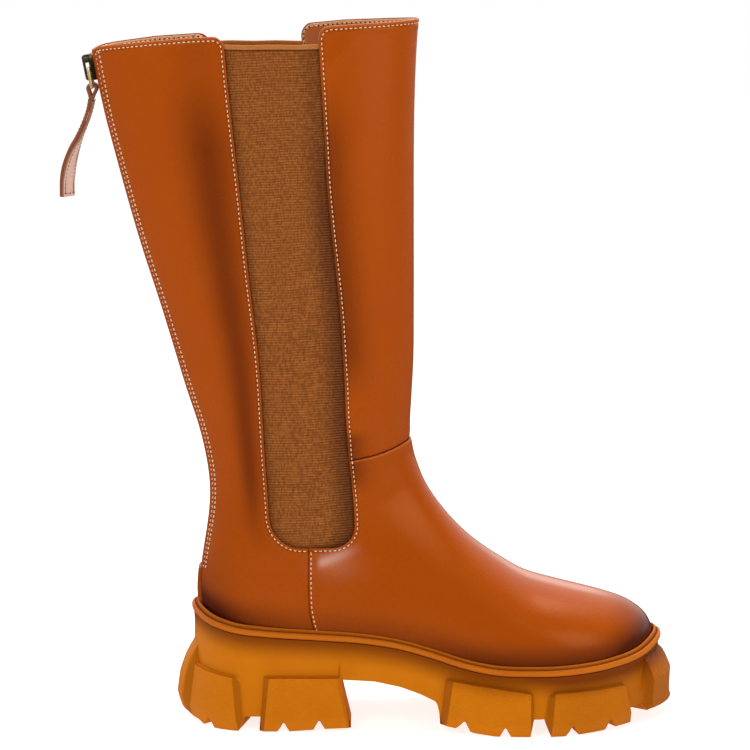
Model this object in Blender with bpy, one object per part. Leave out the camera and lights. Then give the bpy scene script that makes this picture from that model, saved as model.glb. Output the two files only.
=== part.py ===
"""Mid-calf boot for the right foot: lug sole, elastic side panels and a back zip.

Lengths in the tables are millimetres. +X points to the toe, +Z up and -Y to the outer (lateral)
side. The origin lies on the floor under the middle of the heel tread.
"""
import math

import bmesh
import bpy
import numpy as np
from mathutils import Vector
from mathutils.bvhtree import BVHTree

MM = 0.001
FIT = 0.3            # gap between curved pieces that touch
LATERAL, MEDIAL = -1, 1
FAR = 200.0          # clear of the boot on every side
NEARLY_WHOLE = 0.999

# ---- the last: plan outline of the feather line, where the upper meets the sole
HEEL_BACK, HEEL_CAP = -39.0, 33.0
TOE_TIP, TOE_CAP = 223.5, 66.0
PLAN = (  # x, centre line y, lateral half-width, medial half-width
    (-39, 0.0, 31.5, 31.0),
    (0, 0.0, 31.5, 31.0),
    (30, 0.0, 31.5, 29.5),
    (60, 0.2, 32.0, 28.5),
    (90, 1.0, 35.0, 31.0),
    (120, 2.2, 41.5, 38.0),
    (150, 4.0, 45.5, 43.0),
    (180, 6.0, 45.5, 43.0),
    (224, 8.5, 42.0, 41.0),
)
WELT_TOP = (  # x, height of the welt's inner edge
    (-39, 68.0),
    (-32, 64.6),
    (-20, 61.6),
    (0, 59.2),
    (30, 57.2),
    (55, 55.4),
    (76, 52.3),
    (95, 47.4),
    (112, 42.6),
    (130, 39.4),
    (152, 38.8),
    (176, 39.2),
    (196, 40.6),
    (212, 43.2),
    (224, 48.4),
)
WELT_HEIGHT = 5.2
WELT_GAP = 0.7       # from the upper to the welt's inner face
WELT_PROFILE = (  # reach beyond the feather line, height from the welt's top
    (4.0, -5.1),
    (4.6, -4.0),
    (4.6, -2.0),
    (3.9, -1.0),
    (2.9, -0.9),
    (2.3, -1.5),
    (1.8, -1.4),
)
RIDGE_WIDTH, RIDGE_DROP, WELT_FOOT, PROBE = 0.6, 0.1, -5.1, 14.0

# ---- the last: height of the vamp above the welt seat, with a rounded nose at the toe
NOSE = 20.0
FIRST_TURN = 0.16    # share of the toe's quarter turn left to the tip's fan of faces
CROWN = (  # x, height of the vamp's ridge above the seat
    (150, 46.8),
    (162, 43.3),
    (176, 39.1),
    (190, 34.8),
    (204, 29.4),
    (214, 25.6),
    (224, 23.0),
)
TOE_SWELL = 1.03     # the vamp is this much wider than its feather line
TOE_WIDEST, TOE_SQUARE = 0.26, 0.88
UPRIGHT = 150.0      # sections ahead of here stand upright, behind it they lean like a fan
FOOT = (  # rear x on the feather line, front x, front z, lateral, medial, widest, squareness
    (132, 134.5, 90.2, 44.8, 42.6, 0.24, 0.90),
    (112, 121.5, 99.6, 41.8, 39.0, 0.23, 0.92),
    (90, 111.2, 108.9, 38.0, 35.0, 0.22, 0.94),
    (66, 103.2, 118.0, 35.4, 32.4, 0.21, 0.95),
    (42, 97.4, 125.6, 34.0, 31.6, 0.21, 0.96),
    (18, 92.9, 132.4, 33.4, 31.6, 0.21, 0.96),
    (-4, 89.6, 138.6, 33.2, 32.0, 0.23, 0.96),
    (-22, 87.0, 144.6, 33.0, 32.0, 0.26, 0.96),
    (-33, 84.9, 150.6, 32.8, 32.0, 0.30, 0.95),
    (-37.6, 83.6, 155.2, 32.4, 31.8, 0.33, 0.95),
    (-39, 83.0, 158.0, 32.2, 31.7, 0.35, 0.95),
)
SHAFT = (  # rear x, rear z, front x, front z, lateral, medial, widest, squareness
    (-39.3, 70, 82.5, 161.0, 32.0, 31.6, 0.37, 0.94),
    (-38.7, 82, 82.1, 165.0, 31.6, 31.2, 0.40, 0.94),
    (-36.8, 96, 82.0, 170.5, 31.0, 30.8, 0.43, 0.93),
    (-34.2, 111, 82.2, 176.5, 30.4, 30.4, 0.45, 0.93),
    (-32.3, 126, 82.6, 183.0, 30.0, 30.0, 0.47, 0.92),
    (-32.6, 141, 83.0, 190.0, 29.8, 29.8, 0.48, 0.92),
    (-35.0, 156, 83.4, 197.5, 29.8, 29.8, 0.49, 0.92),
    (-38.5, 171, 83.8, 206.0, 30.0, 30.0, 0.50, 0.91),
    (-44.3, 189, 84.0, 217.0, 30.4, 30.4, 0.50, 0.91),
    (-52.0, 216, 84.0, 234.0, 31.0, 31.0, 0.50, 0.90),
    (-59.8, 243, 84.0, 254.0, 31.6, 31.6, 0.50, 0.90),
    (-68.2, 270, 83.9, 276.5, 32.2, 32.2, 0.50, 0.90),
    (-75.7, 297, 83.8, 301.0, 32.6, 32.6, 0.50, 0.90),
    (-82.6, 324, 83.8, 329.0, 32.8, 32.8, 0.50, 0.90),
    (-89.0, 350, 84.2, 359.0, 32.6, 32.6, 0.50, 0.90),
    (-92.9, 370, 85.2, 384.0, 32.2, 32.2, 0.50, 0.90),
    (-95.2, 382.4, 86.3, 399.8, 32.0, 32.0, 0.50, 0.90),
)
COLLAR_LIFT, LIFT_AT, LIFT_REACH, LIFT_FROM = 2.0, -62.0, 48.0, 340.0
CALF_FROM = 185.0    # the sections are further apart above here
WALL = 1.8           # leather and lining
INSOLE_GAP, INSOLE_THICK = 2.0, 3.2

# ---- elastic side panels (gores) and the zip's slit
GORE = (  # z, rear edge x, front edge x of the window in the leather
    (110, -1.0, 51.0),
    (156, -4.1, 48.4),
    (207, -7.6, 45.4),
    (258, -11.2, 41.9),
    (308, -14.9, 37.8),
    (352, -18.3, 34.1),
    (405, -22.4, 29.8),
)
GORE_FOOT = 102.6
WINDOW_DEEP = 12.0   # how near the boot's middle the window's cutter starts
GORE_REAR_RADIUS, GORE_FRONT_RADIUS = 19.0, 11.0
GORE_HEM, GORE_THICK = 7.0, 1.2
GORE_TOPS = {LATERAL: 387.0, MEDIAL: 385.6}
MEDIAL_DRIFT = 11.0  # the inner window leans this much further back at the collar
CORNER_ROUND, REAR_CORNER, FRONT_CORNER = 7.0, 385.0, 390.5
CORNER_RISE, CORNER_ROWS, PANEL_ROWS, PANEL_COLUMNS = 24.0, 6, 12, 6
ABOVE_COLLAR = 420.0
LINING_GAP = 0.8     # between the leather wall and the faceted panels behind it
SEAM_MISS = 0.002    # keeps a ray off the shared edge of the back seam
ZIP_FOOT, ZIP_TOP, SLIT, SLIT_DEEP, SLIT_ROWS = 88.0, 379.0, 6.2, 9.0, 26
COIL_WIDTH, COIL_PROUD, COIL_BEVEL, COIL_ROWS = 5.4, 0.4, 1.1, 24
TAPE_WIDTH, TAPE_THICK, TAPE_TAIL = 26.0, 0.7, 8.0
TAB_FOOT, TAB_TOP, TAB_HALF, TAB_THICK = 69.0, 87.6, 7.5, 1.2

# ---- slider and pull
SLIDER_AT = 373.4    # height of the slider's middle
PLATE_LENGTH, PLATE_WIDTH, PLATE_LOW, PLATE_HIGH, PLATE_CORNER = 15.0, 8.4, 0.7, 2.2, 1.8
CROWN_LENGTH, CROWN_WIDTH, CROWN_HIGH, CROWN_BAR = 14.4, 3.2, 6.4, 1.1
CROWN_BEND, CROWN_ROOT = 1.4, 0.7
LINK_AXIS = (-96.8, 372.3)      # x, z of the bar that turns in the slider's crown
LINK_FOOT = (-95.2, 361.8)       # x, z of the bar that holds the strap
LINK_HALF, LINK_WIRE, LINK_CORNER = 5.8, 1.3, 1.6
STRAP_WIDTH, STRAP_PLY, STRAP_THICK = 9.4, 1.3, 2.9
STRAP_LOOP, STRAP_NECK = 2.35, 356.4
LOOP_TURNS = (-25, 205, 11)     # first and last angle round the link's bar, and how many
TAIL_ROWS = 15
STRAP_TAIL = (  # z, centre x, degrees turned about its own length
    (300.4, -110.0, 46),
    (310, -109.8, 45),
    (318, -108.6, 40),
    (327, -106.0, 30),
    (337, -102.4, 17),
    (347, -98.6, 8),
    (358, -95.8, 0),
)

# ---- sole: moulded unit with a concave wall, bars cut by notches, arch and toe spring
FLOOR_OF_BODY = (  # x, underside of the sole between the lugs
    (-54, 12.0),
    (-42, 9.0),
    (-20, 8.2),
    (38.2, 8.2),
    (40.6, 29.4),
    (62, 28.2),
    (76, 25.4),
    (88, 21.4),
    (97, 17.4),
    (99.4, 10.4),
    (150, 9.6),
    (205, 10.6),
    (236, 16.0),
)
WALL_SHAPE = (  # share of the height from the top, reach beyond the feather line
    (0.0, 3.6),
    (0.14, 3.2),
    (0.45, 3.8),
    (0.75, 4.8),
    (1.0, 6.4),
)
SPRING = (  # x, height of the tread's lowest face above the floor
    (-40, 4.6),
    (-35, 2.6),
    (-29, 0.4),
    (-25, 0.0),
    (13, 0.0),
    (50, 2.8),
    (96, 7.4),
    (108, 4.2),
    (118, 1.6),
    (130, 0.0),
    (168, 0.0),
    (186, 1.2),
    (204, 3.4),
    (216, 6.6),
    (236, 12.0),
)
NOTCH_DEPTH, NOTCH_HALF = 5.4, 3.6
LUG_REACH, LUG_FOOT_REACH, LUG_BEVEL = 8.8, 10.4, 2.6
LUG_SLOPE, CHIN_HEIGHT, CHIN_DEPTH, END_REACH = 1.5, 6.5, 1.2, 0.35
LUG_ROOT, END_ROOT, ROOT_REACH = 15.0, 19.0, 1.5     # where the bars' hidden roots end inside the sole
END_TURNS = (-0.60, -0.50, -0.25, -0.10, 0.10, 0.25, 0.50, 0.60)
EDGE_LUGS = (  # rear x, front x, how far each end leans out at the floor, top, depth, notches at
    (-36.4, -11.6, 0.6, -3.0, 30.0, 16.0, (-26.0,)),
    (-1.6, 41.4, 2.4, 4.6, 31.4, 16.0, (10.2, 29.2)),
    (103, 151.4, 4.4, 0.4, 27.6, 22.0, (113.0, 134.0)),
    (159, 203.6, -3.4, 2.6, 24.6, 22.0, (172.0, 192.6)),
)
LUG_EDGE, LUG_TAPER = 1.0, 2.0
MIDDLE_LUGS = (  # rear x, front x, half-width
    (-16, 12, 9.5),
    (18, 38, 9.5),
    (106, 126, 10.0),
    (132, 156, 15.0),
    (162, 184, 14.0),
)
HEEL_LUG_DEPTH, TOE_LUG_DEPTH = 12.0, 18.0
HEEL_LUG = (  # height, reach beyond the feather line, of the bar round the heel's back
    (44.5, 3.0),
    (35, 8.4),
    (25, 12.0),
    (14, 13.6),
    (5.4, 11.4),
)
TOE_LUG = (
    (37.0, 3.0),
    (33.5, 7.0),
    (25, 10.6),
    (15, 10.2),
    (5.8, 6.8),
)


def along(table, position):
    """Smooth curve through a table's rows; the first column is the position."""
    rows = np.array(table, dtype=float)
    knots, values = rows[:, 0], rows[:, 1:]
    slopes = np.gradient(values, knots, axis=0)
    at = min(max(position, knots[0]), knots[-1])
    low = min(int(np.searchsorted(knots, at, side="right")) - 1, len(knots) - 2)
    span = knots[low + 1] - knots[low]
    t = (at - knots[low]) / span
    rise = 3 * t**2 - 2 * t**3
    return ((1 - rise) * values[low] + rise * values[low + 1]
            + span * t * (1 - t)**2 * slopes[low] - span * t**2 * (1 - t) * slopes[low + 1])


def straight(table, position):
    """Straight lines through a table's rows."""
    rows = np.array(table, dtype=float)
    return float(np.interp(position, rows[:, 0], rows[:, 1]))


def half_width(x, side):
    return along(PLAN, x)[1 if side == LATERAL else 2]


def outline(x, side, reach=0.0):
    """Plan point beside feather-line station x, moved outwards by reach."""
    width = half_width(x, side) + reach
    centre = along(PLAN, x)[0]
    heel_start, toe_start = HEEL_BACK + HEEL_CAP, TOE_TIP - TOE_CAP
    if x < heel_start:
        turn = math.acos(min(1.0, (heel_start - x) / HEEL_CAP))
        return heel_start - (HEEL_CAP + reach) * math.cos(turn), centre + side * width * math.sin(turn)
    if x > toe_start:
        turn = math.acos(min(1.0, (x - toe_start) / TOE_CAP))
        return toe_start + (TOE_CAP + reach) * math.cos(turn), centre + side * width * math.sin(turn)
    return x, centre + side * width


def welt_top(x):
    return float(along(WELT_TOP, x)[0])


def seat(x):
    """Height of the upper's lower edge, just above the sole's top face."""
    return welt_top(x) - WELT_HEIGHT


def vamp_ridge(x):
    """Height of the vamp's middle line ahead of the leaning sections."""
    nose = max(0.0, (x - (TOE_TIP - NOSE)) / NOSE)
    return seat(x) + float(along(CROWN, x)[0]) * math.sqrt(max(0.0, 1 - nose**2))


def upright_row(x):
    widths = [abs(outline(x, side)[1] - along(PLAN, x)[0]) * TOE_SWELL for side in (LATERAL, MEDIAL)]
    return (x, seat(x), x, vamp_ridge(x), *widths, TOE_WIDEST, TOE_SQUARE)


def control_rows():
    """All section rows behind the toe, and where each lies along the boot."""
    rows = [upright_row(x) for x in (UPRIGHT + 24, UPRIGHT)]
    rows += [(row[0], seat(row[0]), *row[1:]) for row in FOOT]
    rows += list(SHAFT)
    rows = np.array(rows, dtype=float)
    steps = np.linalg.norm(np.diff(rows[:, 0:2], axis=0), axis=1)
    steps += np.linalg.norm(np.diff(rows[:, 2:4], axis=0), axis=1)
    places = np.concatenate([[0.0], np.cumsum(steps / 2)])
    return np.column_stack([places - places[1], rows])


CONTROL = control_rows()
BACK_SEAM_PLACE = CONTROL[2 + len(FOOT), 0]     # from here up the sections close on the back seam


def section_row(place):
    """Row of section sizes; a negative place lies ahead of UPRIGHT, towards the toe."""
    if place < 0:
        return upright_row(UPRIGHT - place)
    return along(CONTROL, place)


def half_section(place, side, samples=90):
    """Points from the feather line or back seam up to the ridge, as an array of x, y, z."""
    rear_x, rear_z, front_x, front_z, lateral, medial, widest, square = section_row(place)
    width = lateral if side == LATERAL else medial
    height = math.hypot(front_x - rear_x, front_z - rear_z)
    centre_rear, centre_front = along(PLAN, rear_x)[0], along(PLAN, front_x)[0]
    feather = 0.0
    if HEEL_BACK < rear_x and place < BACK_SEAM_PLACE:
        feather = abs(outline(rear_x, side)[1] - centre_rear)
    share = min(feather / width, NEARLY_WHOLE)
    start = math.asin(share ** (1 / square))
    turn = np.linspace(start, math.pi, samples)
    low = widest * height * (1 - np.cos(turn) / math.cos(start))
    high = height * (widest - (1 - widest) * np.cos(turn))
    rise = np.where(turn < math.pi / 2, low, high)
    spread = width * np.sin(turn).clip(0.0) ** square
    part = rise / height
    x = rear_x + (front_x - rear_x) * part
    y = centre_rear + (centre_front - centre_rear) * part + side * spread
    z = rear_z + (front_z - rear_z) * part
    lift = COLLAR_LIFT * np.clip(1 - ((x - LIFT_AT) / LIFT_REACH) ** 2, 0, 1)
    z += lift * np.clip((z - LIFT_FROM) / (SHAFT[-1][1] - LIFT_FROM), 0, 1) ** 2
    return np.column_stack([x, y, z])


def spread_evenly(points, count):
    """Resample a half section, partly by its length and partly by its turn."""
    run = np.concatenate([[0.0], np.cumsum(np.linalg.norm(np.diff(points, axis=0), axis=1))])
    share = 0.5 * run / run[-1] + 0.5 * np.linspace(0, 1, len(points))
    wanted = np.linspace(0, 1, count)
    return np.column_stack([np.interp(wanted, share, points[:, axis]) for axis in range(3)])


def full_section(place, half_count):
    """One row of the upper's grid, from the lateral edge over the ridge to the medial edge."""
    near = spread_evenly(half_section(place, LATERAL), half_count)
    far = spread_evenly(half_section(place, MEDIAL), half_count)
    return np.vstack([near, far[-2::-1]])


def toe_places(count):
    """Places of the upright sections, closer together towards the toe's tip."""
    length = TOE_TIP - UPRIGHT
    return [-length * math.cos(math.pi / 2 * turn) for turn in np.linspace(FIRST_TURN, 1, count)]


def skin(toe_count, foot_step, shaft_step, half_count):
    """The upper's outer surface as rows of points, without the tip."""
    places = toe_places(toe_count)
    for low, high in zip(CONTROL[1:, 0], CONTROL[2:, 0]):
        step = foot_step if section_row(low)[1] < CALF_FROM else shaft_step
        parts = math.ceil((high - low) / step)
        places += [low + (high - low) * part / parts for part in range(1, parts + 1)]
    return np.array([full_section(place, half_count) for place in places])


def grid_normals(grid):
    """Unit normals of a grid; rows whose two ends meet at the back seam share theirs."""
    across = np.gradient(grid, axis=1)
    along_rows = np.gradient(grid, axis=0)
    normals = np.cross(across, along_rows)
    normals /= np.linalg.norm(normals, axis=2, keepdims=True)
    seam = np.linalg.norm(grid[:, 0] - grid[:, -1], axis=1) < 0.01
    shared = normals[seam, 0] + normals[seam, -1]
    normals[seam, 0] = normals[seam, -1] = shared / np.linalg.norm(shared, axis=1, keepdims=True)
    return normals


UPPER_GRID = skin(toe_count=8, foot_step=10.5, shaft_step=28.0, half_count=14)


def strip_faces(rows, columns):
    return [(r * columns + c, r * columns + c + 1, (r + 1) * columns + c + 1, (r + 1) * columns + c)
            for r in range(rows - 1) for c in range(columns - 1)]


def finish_material(name, colour, roughness, metallic):
    material = bpy.data.materials.new(name)
    material.use_nodes = True
    shader = material.node_tree.nodes["Principled BSDF"]
    shader.inputs["Base Color"].default_value = (*colour, 1.0)
    shader.inputs["Roughness"].default_value = roughness
    shader.inputs["Metallic"].default_value = metallic
    return material


def make_piece(name, points, faces, look, sharp=40):
    """One named object from points in millimetres, welded, facing outwards."""
    mesh = bpy.data.meshes.new(name)
    mesh.from_pydata([tuple(MM * value for value in point) for point in points], [], faces)
    work = bmesh.new()
    work.from_mesh(mesh)
    bmesh.ops.remove_doubles(work, verts=work.verts, dist=0.02 * MM)
    bmesh.ops.recalc_face_normals(work, faces=work.faces)
    work.to_mesh(mesh)
    work.free()
    mesh.shade_smooth()
    mesh.set_sharp_from_angle(angle=math.radians(sharp))
    piece = bpy.data.objects.new(name, mesh)
    if look:
        mesh.materials.append(look)
    bpy.context.scene.collection.objects.link(piece)
    return piece


def make_cutter(name, points, faces):
    cutter = make_piece(name, points, faces, None)
    cutter.hide_render = True
    cutter.display_type = "WIRE"
    return cutter


def boolean(piece, other, operation):
    step = piece.modifiers.new(operation.lower(), "BOOLEAN")
    step.operation = operation
    step.solver = "EXACT"
    step.object = other
    return step


def loft(sections, closed=False):
    """Points and faces of a solid through sections of equal length; closed makes a ring."""
    count, size = len(sections), len(sections[0])
    points = [point for section in sections for point in section]
    turns = count if closed else count - 1
    faces = [(a * size + b, a * size + (b + 1) % size,
              (a + 1) % count * size + (b + 1) % size, (a + 1) % count * size + b)
             for a in range(turns) for b in range(size)]
    if not closed:
        faces.append(tuple(range(size)))
        faces.append(tuple((count - 1) * size + b for b in range(size)))
    return points, faces


# ---------------------------------------------------------------- sole unit
def ring_stations():
    """Feather-line stations of one side, from the heel's back to the toe's tip."""
    heel = [HEEL_BACK + HEEL_CAP * (1 - math.cos(math.pi / 2 * k / 6)) for k in range(7)]
    middle = [4, 16, 28, 38.2, 40.6, 54, 70, 82, 90, 97, 99.4, 110, 122, 134, 146]
    toe = [TOE_TIP - TOE_CAP * (1 - math.sin(math.pi / 2 * k / 8)) for k in range(9)]
    return heel + middle + toe


def sole_level(share):
    """Loop of points round the sole's wall: share 0 at the welt, 1 at the underside."""
    reach = along(WALL_SHAPE, share)[0]
    sides = []
    for side in (LATERAL, MEDIAL):
        row = []
        for x in ring_stations():
            plan = outline(x, side, reach)
            top, low = seat(x) - FIT, straight(FLOOR_OF_BODY, x)
            row.append((*plan, top + (low - top) * share))
        sides.append(row)
    return sides


def sole_body():
    shares = [0.0, 0.07, 0.14, 0.3, 0.5, 0.75, 1.0]
    levels = [sole_level(share) for share in shares]
    size = len(levels[0][0])
    points = [point for level in levels for side in level for point in side]
    faces = []
    for floor in range(len(levels) - 1):
        for side in (0, 1):
            a = (2 * floor + side) * size
            b = a + 2 * size
            faces += [(a + k, a + k + 1, b + k + 1, b + k) for k in range(size - 1)]
    for floor in (0, len(levels) - 1):
        a, b = 2 * floor * size, (2 * floor + 1) * size
        faces += [(a + k, a + k + 1, b + k + 1, b + k) for k in range(size - 1)]
    return points, faces


def lug_section(x, side, lean, top, depth, reach_scale, notch):
    """Section across one bar of the tread: hidden root, outer face, tread and inner end."""
    low = straight(SPRING, x)
    reach = ROOT_REACH + (LUG_REACH - ROOT_REACH) * reach_scale
    foot_reach = ROOT_REACH + (LUG_FOOT_REACH - ROOT_REACH) * reach_scale
    corners = ((-depth, LUG_ROOT), (ROOT_REACH, LUG_ROOT), (ROOT_REACH, top + LUG_SLOPE), (reach, top),
               (foot_reach, low + CHIN_HEIGHT), (foot_reach - CHIN_DEPTH, low + notch), (-depth, low + notch))
    return [(*outline(x + lean * (1 - z / top), side, r), z) for r, z in corners]


def edge_lug(rear, front, rear_lean, front_lean, top, depth, notches, side):
    stations = [(rear, END_REACH, 0.0), (rear + LUG_BEVEL, 1.0, 0.0)]
    for at in notches:
        stations += [(at - NOTCH_HALF, 1.0, 0.0), (at, 1.0, NOTCH_DEPTH), (at + NOTCH_HALF, 1.0, 0.0)]
    stations += [(front - LUG_BEVEL, 1.0, 0.0), (front, END_REACH, 0.0)]
    leans = [-rear_lean] * 2 + [0.0] * (len(stations) - 4) + [front_lean] * 2
    return loft([lug_section(x, side, lean, top, depth, scale, notch)
                 for (x, scale, notch), lean in zip(stations, leans)])


def end_lug(profile, cap_start, cap, depth):
    """Bar wrapped round the heel's back or the toe's tip, in sections over the turn angle."""
    sections = []
    for turn in END_TURNS:
        scale = END_REACH if abs(turn) == END_TURNS[-1] else 1.0
        x = cap_start + cap * math.cos(turn)
        corners = [(-depth, END_ROOT), (ROOT_REACH, END_ROOT), (ROOT_REACH, profile[0][0])]
        corners += [(ROOT_REACH + (reach - ROOT_REACH) * scale, z) for z, reach in profile]
        corners.append((-depth, profile[-1][0]))
        sections.append([(*outline(x, LATERAL if turn < 0 else MEDIAL, r), z) for r, z in corners])
    return loft(sections)


def join_pieces(shapes):
    points, faces = [], []
    for some_points, some_faces in shapes:
        start = len(points)
        points += [tuple(point) for point in some_points]
        faces += [tuple(start + corner for corner in face) for face in some_faces]
    return points, faces


def middle_lug(rear, front, half):
    low = max(straight(SPRING, rear), straight(SPRING, front))
    shift = along(PLAN, (rear + front) / 2)[0]
    loops = []
    for z, inset in ((LUG_ROOT, 0.0), (low + LUG_EDGE, 0.0), (low, LUG_EDGE)):
        x0, x1, wide = rear + inset, front - inset, half - inset
        slim = wide - LUG_TAPER
        ring = ((x0, -wide), (x1, -slim), (x1, slim), (x0, wide))
        loops.append([(x, shift + y, z) for x, y in ring])
    return loft(loops)


def sole():
    look = finish_material("moulded_honey_rubber", (0.50, 0.15, 0.01), 0.55, 0.0)
    body = make_piece("outsole", *sole_body(), look)
    lugs = [edge_lug(*lug, side) for lug in EDGE_LUGS for side in (LATERAL, MEDIAL)]
    lugs.append(end_lug(HEEL_LUG, HEEL_BACK + HEEL_CAP, -HEEL_CAP, HEEL_LUG_DEPTH))
    lugs.append(end_lug(TOE_LUG, TOE_TIP - TOE_CAP, TOE_CAP, TOE_LUG_DEPTH))
    lugs += [middle_lug(*lug) for lug in MIDDLE_LUGS]
    tread = make_cutter("tread_bars", *join_pieces(lugs))
    joined = boolean(body, tread, "UNION")
    joined.use_self = True
    return body


# ---------------------------------------------------------------- upper, insole and welt
def side_tree(offset):
    """Ray-casting tree of the upper's surface moved along its normals by offset."""
    grid = UPPER_GRID + offset * grid_normals(UPPER_GRID)
    rows, columns = grid.shape[:2]
    return BVHTree.FromPolygons([Vector(point) for point in grid.reshape(-1, 3)], strip_faces(rows, columns))


def side_point(tree, x, z, side):
    """Point of a surface seen square on from one side of the boot."""
    return tuple(tree.ray_cast(Vector((x, side * FAR, z)), Vector((0, -side, 0)))[0])


def gore_edges(z, side, hem=0.0):
    """Rear and front edge of a side window at height z, moved outwards by hem."""
    drift = MEDIAL_DRIFT * (z - GORE[0][0]) / (GORE_TOPS[MEDIAL] - GORE[0][0]) if side == MEDIAL else 0.0
    rear, front = along(GORE, z) - max(0.0, drift)
    corners = []
    for radius in (GORE_REAR_RADIUS + hem, GORE_FRONT_RADIUS + hem):
        depth = max(0.0, GORE_FOOT - hem + radius - z)
        corners.append(radius - math.sqrt(max(0.0, radius**2 - depth**2)))
    return rear - hem + corners[0], front + hem - corners[1]


def corner_round(z, start):
    """How far a panel's top corner is rounded off at height z."""
    climb = min(1.0, max(0.0, (z - start) / CORNER_ROUND))
    return CORNER_ROUND * (1 - math.sqrt(1 - climb**2))


def gore_heights(foot, top):
    """Heights of a panel's rows, close together round its lower corners."""
    turns = [math.pi / 2 * k / CORNER_ROWS for k in range(CORNER_ROWS)]
    round_part = [foot + CORNER_RISE * (1 - math.cos(turn)) for turn in turns]
    return round_part + list(np.linspace(foot + CORNER_RISE, top, PANEL_ROWS))


def window_cutter(side):
    """Prism through one side of the upper, open at the collar."""
    heights = gore_heights(GORE_FOOT, REAR_CORNER)
    heights += list(np.arange(REAR_CORNER, FRONT_CORNER + CORNER_ROUND, CORNER_ROUND / 4))[1:]
    heights.append(ABOVE_COLLAR)
    edges = [gore_edges(z, side) for z in heights]
    edges = [(rear - corner_round(z, REAR_CORNER), front + corner_round(z, FRONT_CORNER))
             for (rear, front), z in zip(edges, heights)]
    ring = [(rear, z) for (rear, _), z in zip(edges, heights)]
    ring += [(front, z) for (_, front), z in reversed(list(zip(edges, heights)))]
    loops = [[(x, side * y, z) for x, z in ring] for y in (WINDOW_DEEP, FAR)]
    return make_cutter("window_" + ("outer" if side == LATERAL else "inner"), *loft(loops))


def back_edge(z):
    """The back seam's x at height z."""
    rows = [(row[1], row[0]) for row in SHAFT]
    return float(along(rows, z)[0])


def slit_cutter():
    """Prism along the back seam that parts the leather for the zip."""
    half = SLIT / 2
    loops = []
    for z in np.linspace(ZIP_FOOT - 1.0, SHAFT[-1][1] + SLIT_DEEP, SLIT_ROWS):
        rear, front = back_edge(z) - SLIT_DEEP, back_edge(z) + SLIT_DEEP
        loops.append([(rear, -half, z), (front, -half, z), (front, half, z), (rear, half, z)])
    return make_cutter("zip_slit", *loft(loops))


def upper():
    look = finish_material("waxed_tan_leather", (0.39, 0.07, 0.005), 0.42, 0.0)
    rows, columns = UPPER_GRID.shape[:2]
    points = UPPER_GRID.reshape(-1, 3).tolist()
    tip = len(points)
    points.append((*outline(TOE_TIP, LATERAL), seat(TOE_TIP)))
    faces = strip_faces(rows, columns)
    faces += [(tip, c + 1, c) for c in range(columns - 1)]
    shell = make_piece("upper", points, faces, look)
    wall = shell.modifiers.new("wall", "SOLIDIFY")
    wall.thickness = WALL * MM
    wall.offset = -1.0
    wall.use_even_offset = True
    for cutter in (window_cutter(LATERAL), window_cutter(MEDIAL), slit_cutter()):
        boolean(shell, cutter, "DIFFERENCE")
    return shell


def insole():
    """Plate inside the upper, on the sole's top face."""
    look = finish_material("pigskin_insole", (0.55, 0.33, 0.16), 0.7, 0.0)
    inset, thick = WALL + INSOLE_GAP, INSOLE_THICK
    sections = []
    for x in ring_stations()[1:-1]:
        near, far = outline(x, LATERAL, -inset), outline(x, MEDIAL, -inset)
        low = seat(x)
        sections.append([(*near, low), (*far, low), (*far, low + thick), (*near, low + thick)])
    return make_piece("insole", *loft(sections), look)


def leather_reach(tree, x, side, z):
    """How far the upper stands beyond its feather line at height z, beside station x."""
    inner, outer = Vector(outline(x, side, -PROBE)), Vector(outline(x, side, PROBE))
    inward = (inner - outer).normalized()
    hit = tree.ray_cast(Vector((*outer, z)), Vector((*inward, 0)))[0]
    return max(0.0, PROBE - (hit.xy - outer).length) if hit else 0.0


def welt():
    """Moulded ring round the upper: a narrow inner ridge, a groove and a rounded outer band."""
    look = finish_material("moulded_welt_rubber", (0.45, 0.11, 0.01), 0.5, 0.0)
    tree = side_tree(0.0)
    stations = ring_stations()
    loop = [(x, LATERAL) for x in stations[:-1]] + [(x, MEDIAL) for x in stations[:0:-1]]
    sections = []
    for x, side in loop:
        top = welt_top(x)
        high = leather_reach(tree, x, side, top - FIT) + WELT_GAP
        low = leather_reach(tree, x, side, top + WELT_FOOT + FIT) + WELT_GAP
        corners = list(WELT_PROFILE)
        corners += [(high + RIDGE_WIDTH, -RIDGE_DROP), (high, -FIT), (low, WELT_FOOT)]
        sections.append([(*outline(x, side, reach), top + z) for reach, z in corners])
    return make_piece("welt", *loft(sections, closed=True), look)


# ---------------------------------------------------------------- gores and zip
def wall_between(outer, inner):
    """Closed wall between two grids of points with the same rows and columns."""
    rows, columns = len(outer), len(outer[0])
    points = [point for grid in (outer, inner) for row in grid for point in row]
    half = rows * columns
    faces = strip_faces(rows, columns)
    faces += [tuple(half + corner for corner in face[::-1]) for face in faces]
    rim = list(range(columns))
    rim += [r * columns + columns - 1 for r in range(1, rows)]
    rim += [(rows - 1) * columns + c for c in range(columns - 2, -1, -1)]
    rim += [r * columns for r in range(rows - 2, 0, -1)]
    faces += [(a, b, half + b, half + a) for a, b in zip(rim, rim[1:] + rim[:1])]
    return points, faces


def gore(name, side):
    """Elastic panel behind one window, its hem lapped under the leather."""
    look = finish_material(name + "_elastic", (0.27, 0.09, 0.01), 0.85, 0.0)
    grids = []
    for depth in (WALL + LINING_GAP, WALL + LINING_GAP + GORE_THICK):
        tree = side_tree(-depth)
        grid = []
        for z in gore_heights(GORE_FOOT - GORE_HEM, GORE_TOPS[side]):
            rear, front = gore_edges(z, side, GORE_HEM)
            grid.append([side_point(tree, x, z, side) for x in np.linspace(rear, front, PANEL_COLUMNS)])
        grids.append(grid)
    return make_piece(name, *wall_between(*grids), look)


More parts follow.
